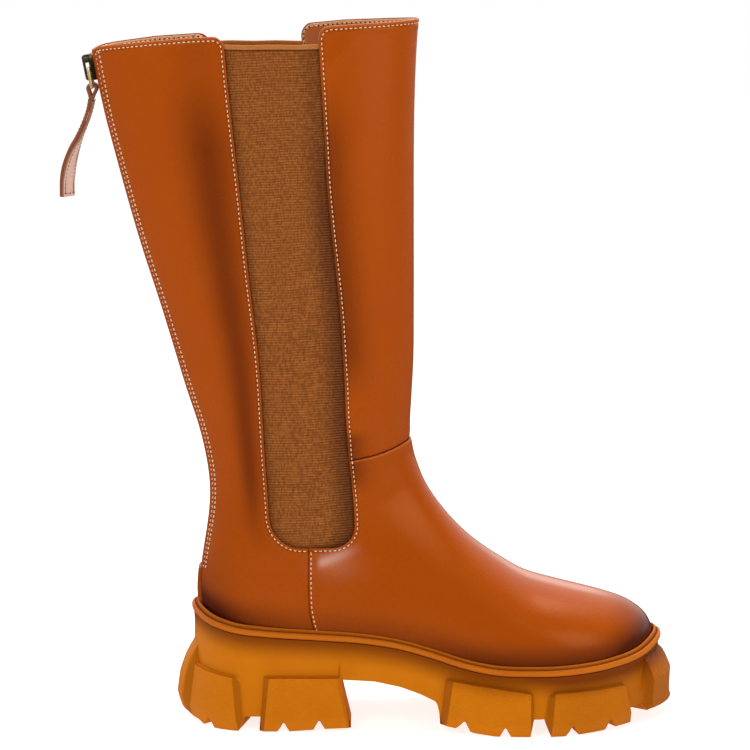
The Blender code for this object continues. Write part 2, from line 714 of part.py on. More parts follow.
def back_point(tree, y, z):
    """Point of a surface seen square on from behind, a hair beside the seam's edge."""
    return tuple(tree.ray_cast(Vector((-FAR, y + SEAM_MISS, z)), Vector((1, 0, 0)))[0])


def back_panel(depths, half, low, high, rows, columns):
    """Closed strip up the back seam between two depths under the leather's face."""
    grids = []
    for depth in depths:
        tree = side_tree(-depth)
        grids.append([[back_point(tree, y, z) for y in np.linspace(-half, half, columns)]
                      for z in np.linspace(low, high, rows)])
    return wall_between(*grids)


def back_frame(tree, z):
    """Point on the back seam, with the directions outwards and up along it."""
    point = Vector(back_point(tree, 0.0, z))
    up = (Vector(back_point(tree, 0.0, z + 2)) - Vector(back_point(tree, 0.0, z - 2))).normalized()
    return point, Vector((-up.z, 0, up.x)), up


def zip_tape():
    look = finish_material("woven_zip_tape", (0.30, 0.12, 0.04), 0.9, 0.0)
    depths = (WALL + LINING_GAP, WALL + LINING_GAP + TAPE_THICK)
    shape = back_panel(depths, TAPE_WIDTH / 2, ZIP_FOOT - TAPE_TAIL, ZIP_TOP + 2, 20, 7)
    return make_piece("zip_tape", *shape, look)


def zip_coil():
    look = finish_material("nylon_zip_coil", (0.42, 0.20, 0.08), 0.45, 0.0)
    tree = side_tree(0.0)
    half, root, shoulder = COIL_WIDTH / 2, -WALL, -FIT
    sections = []
    for z in np.linspace(ZIP_FOOT + FIT, ZIP_TOP, COIL_ROWS):
        point, outwards, _ = back_frame(tree, z)
        corners = ((-half, root), (-half, shoulder), (-half + COIL_BEVEL, COIL_PROUD),
                   (half - COIL_BEVEL, COIL_PROUD), (half, shoulder), (half, root))
        sections.append([tuple(point + rise * outwards + Vector((0, y, 0))) for y, rise in corners])
    return make_piece("zip_coil", *loft(sections), look)


def heel_tab():
    look = finish_material("waxed_tan_tab_leather", (0.33, 0.055, 0.004), 0.45, 0.0)
    shape = back_panel((-FIT - TAB_THICK, -FIT), TAB_HALF, TAB_FOOT, TAB_TOP, 7, 7)
    return make_piece("heel_tab", *shape, look)


def in_back_frame(frame, points):
    """Points given as y, rise off the back seam and distance up along it."""
    origin, outwards, up = frame
    return [tuple(origin + rise * outwards + climb * up + Vector((0, y, 0))) for y, rise, climb in points]


def zip_slider():
    """Slider plate over the coil, with a crown that holds the pull's link."""
    look = finish_material("antique_brass", (0.24, 0.17, 0.07), 0.4, 1.0)
    frame = back_frame(side_tree(0.0), SLIDER_AT)
    half_long, half_wide, cut = PLATE_LENGTH / 2, PLATE_WIDTH / 2, PLATE_CORNER
    loops = []
    for rise in (PLATE_LOW, PLATE_HIGH):
        ring = ((-half_wide + cut, -half_long), (half_wide - cut, -half_long), (half_wide, -half_long + cut),
                (half_wide, half_long - cut), (half_wide - cut, half_long), (-half_wide + cut, half_long),
                (-half_wide, half_long - cut), (-half_wide, -half_long + cut))
        loops.append(in_back_frame(frame, [(y, rise, climb) for y, climb in ring]))
    slider = make_piece("zip_slider", *loft(loops), look)
    arch_half, top, root, bend = CROWN_LENGTH / 2, CROWN_HIGH, PLATE_HIGH - CROWN_ROOT, CROWN_BEND
    knee = bend * (1 - math.sqrt(0.5))
    half_path = ((arch_half, root), (arch_half, top - bend), (arch_half - knee, top - knee),
                 (arch_half - bend, top))
    path = [(-climb, rise) for climb, rise in half_path] + list(half_path[::-1])
    inner = [(climb * (1 - CROWN_BAR / arch_half), min(rise, top - CROWN_BAR)) for climb, rise in path]
    sections = []
    for (climb, rise), (low_climb, low_rise) in zip(path, inner):
        w = CROWN_WIDTH / 2
        corners = [(-w, rise, climb), (w, rise, climb), (w, low_rise, low_climb), (-w, low_rise, low_climb)]
        sections.append(in_back_frame(frame, corners))
    boolean(slider, make_cutter("slider_crown", *loft(sections)), "UNION")
    return slider


def round_bar(path, radius, sides, closed):
    """Bar of round section through a path of points."""
    path = [Vector(point) for point in path]
    count = len(path)
    sections = []
    for k, point in enumerate(path):
        ahead = path[(k + 1) % count] if closed or k < count - 1 else point
        behind = path[k - 1] if closed or k > 0 else point
        run = (ahead - behind).normalized()
        side = run.cross(Vector((LINK_FOOT[1] - LINK_AXIS[1], 0, LINK_AXIS[0] - LINK_FOOT[0]))).normalized()
        other = run.cross(side)
        turns = [2 * math.pi * (c + 0.5) / sides for c in range(sides)]
        sections.append([tuple(point + radius * (math.cos(t) * side + math.sin(t) * other)) for t in turns])
    return loft(sections, closed=closed)


def zip_pull(pivot):
    """Wire link that turns in the slider's crown and holds the strap."""
    look = finish_material("gilt_brass_wire", (0.55, 0.38, 0.14), 0.3, 1.0)
    head, foot = Vector((LINK_AXIS[0], 0, LINK_AXIS[1])), Vector((LINK_FOOT[0], 0, LINK_FOOT[1]))
    drop = (foot - head).length
    down = (foot - head).normalized()
    corners = ((-1, 0), (1, 0), (1, 1), (-1, 1))
    path = []
    for k, (sx, sz) in enumerate(corners):
        middle = Vector((sx * (LINK_HALF - LINK_CORNER), LINK_CORNER + sz * (drop - 2 * LINK_CORNER)))
        for step in range(4):
            turn = math.radians(-180 + 90 * k + 30 * step)
            y = middle.x + LINK_CORNER * math.cos(turn)
            path.append(head + down * (middle.y + LINK_CORNER * math.sin(turn)) + Vector((0, y, 0)))
    link = make_piece("zip_pull", *round_bar(path, LINK_WIRE / 2, 8, True), look, sharp=80)
    return hang_on(link, pivot)


def pull_strap(pivot):
    """Folded leather strap: a loop round the link's lower bar and a doubled, twisted tail."""
    look = finish_material("tan_strap_leather", (0.36, 0.09, 0.02), 0.5, 0.0)
    centre = Vector((LINK_FOOT[0], 0, LINK_FOOT[1] - STRAP_LOOP + LINK_WIRE / 2 + STRAP_PLY / 2 + FIT))
    neck = Vector((float(along(STRAP_TAIL, STRAP_NECK)[0]), 0, STRAP_NECK))
    turns = [math.radians(turn) for turn in np.linspace(*LOOP_TURNS)]
    ring = [centre + STRAP_LOOP * Vector((math.cos(t), 0, math.sin(t))) for t in turns]
    ring += [ring[-1].lerp(neck, 0.5), neck, ring[0].lerp(neck, 0.5)]
    sections = []
    for k, point in enumerate(ring):
        run = (ring[(k + 1) % len(ring)] - ring[k - 1]).normalized()
        if point is neck:
            run = Vector((1, 0, 0))
        off = Vector((run.z, 0, -run.x)) * STRAP_PLY / 2
        wide = Vector((0, STRAP_WIDTH / 2, 0))
        corners = (point + off - wide, point + off + wide, point - off + wide, point - off - wide)
        sections.append([tuple(corner) for corner in corners])
    strap = make_piece("pull_strap", *loft(sections, closed=True), look)
    tail = []
    for z in np.linspace(STRAP_TAIL[0][0], STRAP_NECK + STRAP_PLY / 2, TAIL_ROWS):
        x, degrees = along(STRAP_TAIL, z)
        slope = along(STRAP_TAIL, z + 1)[0] - along(STRAP_TAIL, z - 1)[0]
        run = Vector((slope, 0, 2)).normalized()
        turn = math.radians(degrees)
        across = Vector((0, math.cos(turn), 0)) + math.sin(turn) * Vector((run.z, 0, -run.x))
        face = run.cross(across).normalized()
        middle = Vector((x, 0, z))
        wide, thick = across * STRAP_WIDTH / 2, face * STRAP_THICK / 2
        corners = (middle - wide - thick, middle + wide - thick, middle + wide + thick, middle - wide + thick)
        tail.append([tuple(corner) for corner in corners])
    boolean(strap, make_cutter("strap_tail", *loft(tail)), "UNION")
    return hang_on(strap, pivot)


def hang_on(piece, pivot):
    """Parent a piece to the pull's pivot without moving it."""
    piece.parent = pivot
    piece.matrix_parent_inverse = pivot.matrix_world.inverted()
    return piece


def pull_pivot():
    """Empty on the axis about which the pull swings."""
    pivot = bpy.data.objects.new("pull_pivot", None)
    pivot.location = (LINK_AXIS[0] * MM, 0, LINK_AXIS[1] * MM)
    bpy.context.scene.collection.objects.link(pivot)
    bpy.context.view_layer.update()
    return pivot


def clear_scene():
    for thing in list(bpy.data.objects):
        bpy.data.objects.remove(thing, do_unlink=True)


clear_scene()
sole()
upper()
insole()
welt()
gore("gore_outer", LATERAL)
gore("gore_inner", MEDIAL)
zip_tape()
zip_coil()
heel_tab()
zip_slider()
pivot = pull_pivot()
zip_pull(pivot)
pull_strap(pivot)
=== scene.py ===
import math

import bmesh
import bpy
import numpy as np
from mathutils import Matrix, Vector
from mathutils.bvhtree import BVHTree


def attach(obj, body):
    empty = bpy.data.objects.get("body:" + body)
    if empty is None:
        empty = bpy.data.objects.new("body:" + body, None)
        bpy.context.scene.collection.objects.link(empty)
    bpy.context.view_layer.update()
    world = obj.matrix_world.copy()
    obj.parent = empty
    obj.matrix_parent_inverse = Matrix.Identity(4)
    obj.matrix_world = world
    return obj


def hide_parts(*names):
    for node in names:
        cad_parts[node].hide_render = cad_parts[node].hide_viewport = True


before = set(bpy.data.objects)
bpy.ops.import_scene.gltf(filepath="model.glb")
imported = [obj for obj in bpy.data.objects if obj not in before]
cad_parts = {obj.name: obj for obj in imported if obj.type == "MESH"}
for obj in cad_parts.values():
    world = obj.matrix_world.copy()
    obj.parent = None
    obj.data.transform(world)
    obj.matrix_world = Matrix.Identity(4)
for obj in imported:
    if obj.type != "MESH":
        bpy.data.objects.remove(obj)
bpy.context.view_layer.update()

# ---------------------------------------------------------------- camera, floor and light
# A long lens at calf height looks slightly down on the boot's outer side. The boot stands on a
# white sweep, between broad soft boxes, with the bright backdrop behind it.
CAMERA_AT, CAMERA_DOWN, LENS = (0.062, -1.50, 0.49), 11.0, 129.1
WHITE_BACK, DIM_FRONT = 1.0, 0.07      # brightness of the room behind the boot and before it
SOFT_BOXES = (  # name, place, aim, width and height in metres, watts
    ("key_box", (-0.75, -1.20, 1.25), (0.0, 0.0, 0.18), (0.9, 0.9), 11.5),
    ("fill_box", (1.15, -1.05, 0.75), (0.05, 0.0, 0.16), (0.8, 1.0), 7.0),
    ("top_box", (0.10, 0.35, 1.35), (0.08, 0.0, 0.10), (1.2, 0.7), 18.0),
)
scene = bpy.context.scene
scene.view_settings.view_transform = "Standard"
camera = bpy.data.objects.new("camera", bpy.data.cameras.new("camera"))
camera.data.lens = LENS
camera.location = CAMERA_AT
camera.rotation_euler = (math.radians(90 - CAMERA_DOWN), 0, 0)
scene.collection.objects.link(camera)
scene.camera = camera
for name, place, aim, size, watts in SOFT_BOXES:
    box = bpy.data.objects.new(name, bpy.data.lights.new(name, "AREA"))
    box.data.shape = "RECTANGLE"
    box.data.size, box.data.size_y = size
    box.data.energy = watts
    box.location = place
    box.rotation_euler = (Vector(aim) - Vector(place)).to_track_quat("-Z", "Y").to_euler()
    scene.collection.objects.link(box)


def linear(hex_colour):
    """Linear colour from an sRGB hex value."""
    parts = [int(hex_colour[k:k + 2], 16) / 255 for k in (1, 3, 5)]
    return (*[p / 12.92 if p <= 0.04045 else ((p + 0.055) / 1.055) ** 2.4 for p in parts], 1.0)


def add_node(tree, kind, inputs=(), **settings):
    """Adds a node: settings are its own properties, inputs pairs of socket and value or link."""
    fresh = tree.nodes.new(kind)
    for key, value in settings.items():
        setattr(fresh, key, value)
    for socket, value in dict(inputs).items():
        if isinstance(value, bpy.types.NodeSocket):
            tree.links.new(value, fresh.inputs[socket])
        else:
            fresh.inputs[socket].default_value = value
    return fresh


world = bpy.data.worlds.new("studio")
scene.world = world
world.use_nodes = True
room = world.node_tree
room.nodes.clear()
facing = add_node(room, "ShaderNodeSeparateXYZ", {0: add_node(room, "ShaderNodeTexCoord").outputs["Generated"]})
glow = add_node(room, "ShaderNodeMapRange", {"Value": facing.outputs["Y"], "From Min": -0.25, "From Max": 0.45,
                "To Min": DIM_FRONT, "To Max": WHITE_BACK}, interpolation_type="SMOOTHSTEP")
seen = add_node(room, "ShaderNodeLightPath")
strength = add_node(room, "ShaderNodeMix", {"Factor": seen.outputs["Is Camera Ray"],
                    "A": glow.outputs["Result"], "B": 1.0})
lit = add_node(room, "ShaderNodeBackground", {"Color": linear("#FFFFFF"), "Strength": strength.outputs["Result"]})
add_node(room, "ShaderNodeOutputWorld", {"Surface": lit.outputs["Background"]})


def new_material(name):
    """An empty material with its shader, ready for its own nodes."""
    material = bpy.data.materials.new(name)
    material.use_nodes = True
    return material, material.node_tree, material.node_tree.nodes["Principled BSDF"]


paper, paper_tree, paper_shader = new_material("matt_white_paper_sweep")
paper_shader.inputs["Roughness"].default_value = 0.95
paper_shader.inputs["Specular IOR Level"].default_value = 0.1
paper_shader.inputs["Emission Color"].default_value = linear("#FFFFFF")
watched = add_node(paper_tree, "ShaderNodeLightPath")
bright = add_node(paper_tree, "ShaderNodeMix", {"Factor": watched.outputs["Is Glossy Ray"], "A": 0.80, "B": 0.02})
pale = add_node(paper_tree, "ShaderNodeMix", {"Factor": watched.outputs["Is Glossy Ray"], 6: linear("#B9B8B6"),
                7: linear("#2C2B2A")}, data_type="RGBA")
paper_tree.links.new(pale.outputs[2], paper_shader.inputs["Base Color"])
paper_tree.links.new(bright.outputs["Result"], paper_shader.inputs["Emission Strength"])
floor_mesh = bpy.data.meshes.new("floor")
floor_mesh.from_pydata([(-4, -4, 0), (4, -4, 0), (4, 4, 0), (-4, 4, 0)], [], [(0, 1, 2, 3)])
floor_mesh.materials.append(paper)
floor = bpy.data.objects.new("floor", floor_mesh)
scene.collection.objects.link(floor)

# ---------------------------------------------------------------- the last
# The boot is pulled over a last: a foot with a round, slightly square toe, leaning sections at
# the instep, and a straight shaft that flares to the back. Every leather piece lies on its face.
MM = 0.001
LATERAL, MEDIAL = -1, 1
HEEL_BACK, HEEL_CAP = -39.0, 33.0
TOE_TIP, TOE_CAP = 223.5, 66.0
PLAN = (  # x, centre line y, lateral half-width, medial half-width
    (-39, 0.0, 31.5, 31.0), (0, 0.0, 31.5, 31.0), (30, 0.0, 31.5, 29.5), (60, 0.2, 32.0, 28.5),
    (90, 1.0, 35.0, 31.0), (120, 2.2, 41.5, 38.0), (150, 4.0, 45.5, 43.0), (180, 6.0, 45.5, 43.0),
    (224, 8.5, 42.0, 41.0),
)
WELT_TOP = (  # x, height of the welt's inner edge
    (-39, 68.0), (-32, 64.6), (-20, 61.6), (0, 59.2), (30, 57.2), (55, 55.4), (76, 52.3), (95, 47.4),
    (112, 42.6), (130, 39.4), (152, 38.8), (176, 39.2), (196, 40.6), (212, 43.2), (224, 48.4),
)
WELT_HEIGHT, NOSE = 5.2, 20.0
CROWN = (  # x, height of the vamp's ridge above the seat
    (150, 46.8), (162, 43.3), (176, 39.1), (190, 34.8), (204, 29.4), (214, 25.6), (224, 23.0),
)
TOE_SWELL, TOE_WIDEST, TOE_SQUARE, UPRIGHT = 1.03, 0.26, 0.88, 150.0
FOOT = (  # rear x on the feather line, front x, front z, lateral, medial, widest, squareness
    (132, 134.5, 90.2, 44.8, 42.6, 0.24, 0.90), (112, 121.5, 99.6, 41.8, 39.0, 0.23, 0.92),
    (90, 111.2, 108.9, 38.0, 35.0, 0.22, 0.94), (66, 103.2, 118.0, 35.4, 32.4, 0.21, 0.95),
    (42, 97.4, 125.6, 34.0, 31.6, 0.21, 0.96), (18, 92.9, 132.4, 33.4, 31.6, 0.21, 0.96),
    (-4, 89.6, 138.6, 33.2, 32.0, 0.23, 0.96), (-22, 87.0, 144.6, 33.0, 32.0, 0.26, 0.96),
    (-33, 84.9, 150.6, 32.8, 32.0, 0.30, 0.95), (-37.6, 83.6, 155.2, 32.4, 31.8, 0.33, 0.95),
    (-39, 83.0, 158.0, 32.2, 31.7, 0.35, 0.95),
)
SHAFT = (  # rear x, rear z, front x, front z, lateral, medial, widest, squareness
    (-39.3, 70, 82.5, 161.0, 32.0, 31.6, 0.37, 0.94), (-38.7, 82, 82.1, 165.0, 31.6, 31.2, 0.40, 0.94),
    (-36.8, 96, 82.0, 170.5, 31.0, 30.8, 0.43, 0.93), (-34.2, 111, 82.2, 176.5, 30.4, 30.4, 0.45, 0.93),
    (-32.3, 126, 82.6, 183.0, 30.0, 30.0, 0.47, 0.92), (-32.6, 141, 83.0, 190.0, 29.8, 29.8, 0.48, 0.92),
    (-35.0, 156, 83.4, 197.5, 29.8, 29.8, 0.49, 0.92), (-38.5, 171, 83.8, 206.0, 30.0, 30.0, 0.50, 0.91),
    (-44.3, 189, 84.0, 217.0, 30.4, 30.4, 0.50, 0.91), (-52.0, 216, 84.0, 234.0, 31.0, 31.0, 0.50, 0.90),
    (-59.8, 243, 84.0, 254.0, 31.6, 31.6, 0.50, 0.90), (-68.2, 270, 83.9, 276.5, 32.2, 32.2, 0.50, 0.90),
    (-75.7, 297, 83.8, 301.0, 32.6, 32.6, 0.50, 0.90), (-82.6, 324, 83.8, 329.0, 32.8, 32.8, 0.50, 0.90),
    (-89.0, 350, 84.2, 359.0, 32.6, 32.6, 0.50, 0.90), (-92.9, 370, 85.2, 384.0, 32.2, 32.2, 0.50, 0.90),
    (-95.2, 382.4, 86.3, 399.8, 32.0, 32.0, 0.50, 0.90),
)
COLLAR_LIFTS, LIFT_FROM = {  # x, how far the collar rises above its sloping plane, for each side
    LATERAL: ((-110, 0.0), (-98, 1.4), (-85, 2.5), (-62, 3.2), (-40, 3.1), (-25, 2.5), (-8, 1.2), (4, 0.4), (20, 1.9),
              (33, 2.3), (50, 1.6), (66, 0.8), (84, 0.0)),
    MEDIAL: ((-110, 0.0), (-98, 1.4), (-85, 2.3), (-62, 2.8), (-40, 1.9), (-25, 0.8), (-8, 0.0), (6, 0.0), (24, 1.5),
             (45, 1.6), (62, 0.8), (84, 0.0)),
}, 340.0
TOE_ROWS, ROW_STEP, HALF_COLUMNS, SOFTEN = 64, 1.7, 112, 3.0


def along(table, position):
    """Smooth curves through a table's rows, at one position or at an array of them."""
    rows = np.array(table, dtype=float)
    knots, values = rows[:, 0], rows[:, 1:]
    slopes = np.gradient(values, knots, axis=0)
    at = np.clip(np.asarray(position, dtype=float), knots[0], knots[-1])
    low = np.clip(np.searchsorted(knots, at, side="right") - 1, 0, len(knots) - 2)
    span = (knots[low + 1] - knots[low])[..., None]
    t = (at - knots[low])[..., None] / span
    rise = 3 * t**2 - 2 * t**3
    return ((1 - rise) * values[low] + rise * values[low + 1]
            + span * t * (1 - t)**2 * slopes[low] - span * t**2 * (1 - t) * slopes[low + 1])


def outline(x, side, reach=0.0):
    """Plan points beside feather-line stations x, moved outwards by reach."""
    x, reach = np.broadcast_arrays(np.asarray(x, dtype=float), reach)
    plan = along(PLAN, x)
    width = plan[..., 1 if side == LATERAL else 2] + reach
    heel_start, toe_start = HEEL_BACK + HEEL_CAP, TOE_TIP - TOE_CAP
    heel = np.arccos(np.clip((heel_start - x) / HEEL_CAP, 0, 1))
    toe = np.arccos(np.clip((x - toe_start) / TOE_CAP, 0, 1))
    where = np.where(x < heel_start, heel_start - (HEEL_CAP + reach) * np.cos(heel), x)
    where = np.where(x > toe_start, toe_start + (TOE_CAP + reach) * np.cos(toe), where)
    turn = np.sin(np.where(x < heel_start, heel, np.where(x > toe_start, toe, math.pi / 2)))
    return where, plan[..., 0] + side * width * turn


def seat(x):
    """Height of the upper's lower edge, just above the sole's top face."""
    return along(WELT_TOP, x)[..., 0] - WELT_HEIGHT


def upright_row(x):
    nose = max(0.0, (x - (TOE_TIP - NOSE)) / NOSE)
    ridge = seat(x) + along(CROWN, x)[0] * math.sqrt(max(0.0, 1 - nose**2))
    widths = [abs(outline(x, side)[1] - along(PLAN, x)[0]) * TOE_SWELL for side in (LATERAL, MEDIAL)]
    return (x, seat(x), x, ridge, *widths, TOE_WIDEST, TOE_SQUARE)


def control_rows():
    """All section rows behind the toe, and where each lies along the boot."""
    rows = [upright_row(x) for x in (UPRIGHT + 24, UPRIGHT)]
    rows += [(row[0], seat(row[0]), *row[1:]) for row in FOOT]
    rows += list(SHAFT)
    rows = np.array(rows, dtype=float)
    steps = np.linalg.norm(np.diff(rows[:, 0:2], axis=0), axis=1)
    steps += np.linalg.norm(np.diff(rows[:, 2:4], axis=0), axis=1)
    places = np.concatenate([[0.0], np.cumsum(steps / 2)])
    return np.column_stack([places - places[1], rows])


CONTROL = control_rows()
BACK_SEAM_PLACE = CONTROL[2 + len(FOOT), 0]


def half_section(place, side, samples=220):
    """Points from the feather line or back seam up to the ridge."""
    row = upright_row(UPRIGHT - place) if place < 0 else along(CONTROL, place)
    rear_x, rear_z, front_x, front_z, lateral, medial, widest, square = row
    width = lateral if side == LATERAL else medial
    height = math.hypot(front_x - rear_x, front_z - rear_z)
    centre_rear, centre_front = along(PLAN, rear_x)[0], along(PLAN, front_x)[0]
    feather = 0.0
    if HEEL_BACK < rear_x and place < BACK_SEAM_PLACE:
        feather = abs(outline(rear_x, side)[1] - centre_rear)
    start = math.asin(min(feather / width, 0.999) ** (1 / square))
    turn = np.linspace(start, math.pi, samples)
    low = widest * height * (1 - np.cos(turn) / math.cos(start))
    high = height * (widest - (1 - widest) * np.cos(turn))
    part = np.where(turn < math.pi / 2, low, high) / height
    spread = width * np.sin(turn).clip(0.0) ** square
    x = rear_x + (front_x - rear_x) * part
    y = centre_rear + (centre_front - centre_rear) * part + side * spread
    z = rear_z + (front_z - rear_z) * part
    lift = np.interp(x, *np.array(COLLAR_LIFTS[side]).T) * np.clip(np.abs(y) / 12, 0, 1)
    z += lift * np.clip((z - LIFT_FROM) / (SHAFT[-1][1] - LIFT_FROM), 0, 1) ** 2
    return np.column_stack([x, y, z])


def spread_evenly(points, count):
    """Resample a half section, partly by its length and partly by its turn."""
    run = np.concatenate([[0.0], np.cumsum(np.linalg.norm(np.diff(points, axis=0), axis=1))])
    share = 0.5 * run / run[-1] + 0.5 * np.linspace(0, 1, len(points))
    wanted = np.linspace(0, 1, count)
    return np.column_stack([np.interp(wanted, share, points[:, axis]) for axis in range(3)])


def last_face():
    """The last's face as rows of points, softened along the boot so that light runs over it cleanly."""
    length = TOE_TIP - UPRIGHT
    places = [-length * math.cos(math.pi / 2 * turn) for turn in np.linspace(0.02, 1, TOE_ROWS)]
    count = math.ceil(CONTROL[-1, 0] / ROW_STEP)
    places += list(np.linspace(0, CONTROL[-1, 0], count + 1)[1:])
    rows = []
    for place in places:
        near, far = (spread_evenly(half_section(place, side), HALF_COLUMNS) for side in (LATERAL, MEDIAL))
        rows.append(np.vstack([near, far[-2::-1]]))
    tip = np.array([[*outline(TOE_TIP, LATERAL), seat(TOE_TIP)]])
    rows = np.array([np.repeat(tip, 2 * HALF_COLUMNS - 1, axis=0)] + rows)
    reach = int(3 * SOFTEN)
    bell = np.exp(-0.5 * (np.arange(-reach, reach + 1) / SOFTEN) ** 2)
    bell /= bell.sum()
    ahead, behind = 2 * rows[:1] - rows[reach:0:-1], 2 * rows[-1:] - rows[-2:-reach - 2:-1]
    padded = np.concatenate([ahead, rows, behind])
    return sum(weight * padded[k:k + len(rows)] for k, weight in enumerate(bell))


def face_normals(grid):
    """Outward unit normals of a grid; rows whose two ends meet at the back seam share theirs."""
    normals = np.cross(np.gradient(grid, axis=1), np.gradient(grid, axis=0))
    normals[0] = (0.9, 0.0, 0.44)
    normals /= np.linalg.norm(normals, axis=2, keepdims=True).clip(1e-9)
    seam = np.linalg.norm(grid[:, 0] - grid[:, -1], axis=1) < 0.01
    seam[0] = False
    shared = normals[seam, 0] + normals[seam, -1]
    normals[seam, 0] = normals[seam, -1] = shared / np.linalg.norm(shared, axis=1, keepdims=True)
    return normals


LAST = last_face()
NORMALS = face_normals(LAST)
ROWS, COLUMNS = LAST.shape[:2]
MIDDLE = HALF_COLUMNS - 1


def read(grid, places):
    """Smooth value of a grid at fractional rows and columns."""
    parts = []
    for axis, count in ((0, ROWS), (1, COLUMNS)):
        at = np.clip(places[:, axis], 0, count - 1)
        low = np.clip(np.floor(at).astype(int), 0, count - 2)
        t = at - low
        weights = (-0.5 * t + t**2 - 0.5 * t**3, 1 - 2.5 * t**2 + 1.5 * t**3,
                   0.5 * t + 2 * t**2 - 1.5 * t**3, 0.5 * t**3 - 0.5 * t**2)
        parts.append([(np.clip(low + k - 1, 0, count - 1), weight) for k, weight in enumerate(weights)])
    total = 0.0
    for row, row_weight in parts[0]:
        for column, column_weight in parts[1]:
            weight = row_weight * column_weight
            total = total + grid[row, column] * (weight if grid.ndim == 2 else weight[:, None])
    return total

# ---------------------------------------------------------------- leather panels
# Waxed calf in four panels: a vamp, a shaft front, and two quarters behind the side seams. Their
# edges are skived and folded in, then stitched 2 mm inside the fold. The vamp laps over the others.
GORE = (  # z, rear edge x, front edge x of the window in the leather
    (110, 2.4, 50.7), (125, 2.1, 50.3), (140, 1.2, 49.1), (156, 0.1, 47.4), (175, -0.9, 46.0), (196, -1.8, 45.2),
    (216, -3.2, 44.1), (236, -5.3, 42.9), (256, -7.5, 41.1), (285, -10.3, 38.0), (308, -12.5, 35.9),
    (340, -15.8, 34.2), (365, -18.3, 32.8), (405, -21.8, 30.4),
)
GORE_FOOT, REAR_RADIUS, FRONT_RADIUS, MEDIAL_DRIFT, MEDIAL_TOP = 104.9, 18.5, 12.0, 11.0, 385.6
SIDE_SEAM = (  # z, x of the seam below the gore; above it the line runs on inside the window
    (20, 38.0), (40, 33.6), (50, 30.9), (58.7, 28.6), (68, 26.6), (80.7, 25.9), (92, 25.9), (105, 26.0), (440, 5.1),
)
FRONT_SEAM = (  # x, z of the vamp's top edge
    (20, 151.6), (36, 152.8), (49.7, 154.4), (62, 156.2), (72.1, 158.7), (79, 161.1), (84, 162.6), (95, 164.4),
)
SLIT, SLIT_FOOT = 3.1, 88.0             # half-width and foot of the opening for the zip
REAR_CORNER, FRONT_CORNER, ZIP_CORNER = 6.5, 7.0, 2.2
SEAM_LAP, UNDERLAP = 1.1, 5.0           # vamp's edge past its stitches, and leather that runs under it
STITCH_AT, GORE_NEARER = 2.1, 0.5       # stitch rows inside a folded edge, and how much nearer at a gore
ZIP_ROWS = (6.0, 9.8)                   # stitch rows beside the back seam
LEATHER, UNDER = 1.0, 0.75              # thickness, and how deep a lapped edge lies
EDGE_LINES = (0.12, 0.35, 0.7, 1.15, 1.6, 2.05, 2.5, 3.1, 3.9, 5.0)


def window(side):
    """Side-view outline of a gore's window, open above the collar."""
    turns = np.linspace(0, math.pi / 2, 24)
    heights = np.concatenate([GORE_FOOT + 30 * (1 - np.cos(turns)), np.linspace(GORE_FOOT + 30, 470, 60)[1:]])
    drift = np.zeros(len(heights))
    if side == MEDIAL:
        drift = MEDIAL_DRIFT * np.clip((heights - GORE[0][0]) / (MEDIAL_TOP - GORE[0][0]), 0, None)
    edges = along(GORE, heights)
    rear, front = edges[:, 0] - drift, edges[:, 1] - drift
    beyond = np.clip(heights - GORE[-1][0], 0, None) * 0.078
    rear, front = rear - beyond, front - beyond
    for radius, sign, line in ((REAR_RADIUS, 1, rear), (FRONT_RADIUS, -1, front)):
        depth = np.clip(GORE_FOOT + radius - heights, 0, radius)
        line += sign * (radius - np.sqrt(radius**2 - depth**2))
    return np.vstack([np.column_stack([rear, heights])[::-1], np.column_stack([front, heights])])


def distance_to(line, points):
    """Distance of side-view points from a line of points."""
    start, step = line[:-1], np.diff(line, axis=0)
    best = np.full(len(points), np.inf)
    for a, d in zip(start, step):
        share = np.clip(((points - a) @ d) / (d @ d), 0, 1)
        best = np.minimum(best, np.linalg.norm(points - a - share[:, None] * d, axis=1))
    return best


def outside(line, points):
    """1 outside a closed outline, -1 inside it."""
    x, z = points[:, 0], points[:, 1]
    crossings = np.zeros(len(points), dtype=int)
    for (ax, az), (bx, bz) in zip(line, np.roll(line, -1, axis=0)):
        spans = (az > z) != (bz > z)
        with np.errstate(divide="ignore", invalid="ignore"):
            crossings += spans & (x < (bx - ax) * (z - az) / (bz - az) + ax)
    return np.where(crossings % 2 == 1, -1.0, 1.0)


def true_length(field):
    """A side-view distance stretched to its length over the last's face."""
    down, across = np.gradient(LAST, axis=0), np.gradient(LAST, axis=1)
    e, f, g = (down**2).sum(2), (down * across).sum(2), (across**2).sum(2)
    fr, fc = np.gradient(field)
    slope = (g * fr**2 - 2 * f * fr * fc + e * fc**2) / (e * g - f**2).clip(1e-6)
    return field / np.sqrt(slope.clip(0.05, 4.0))


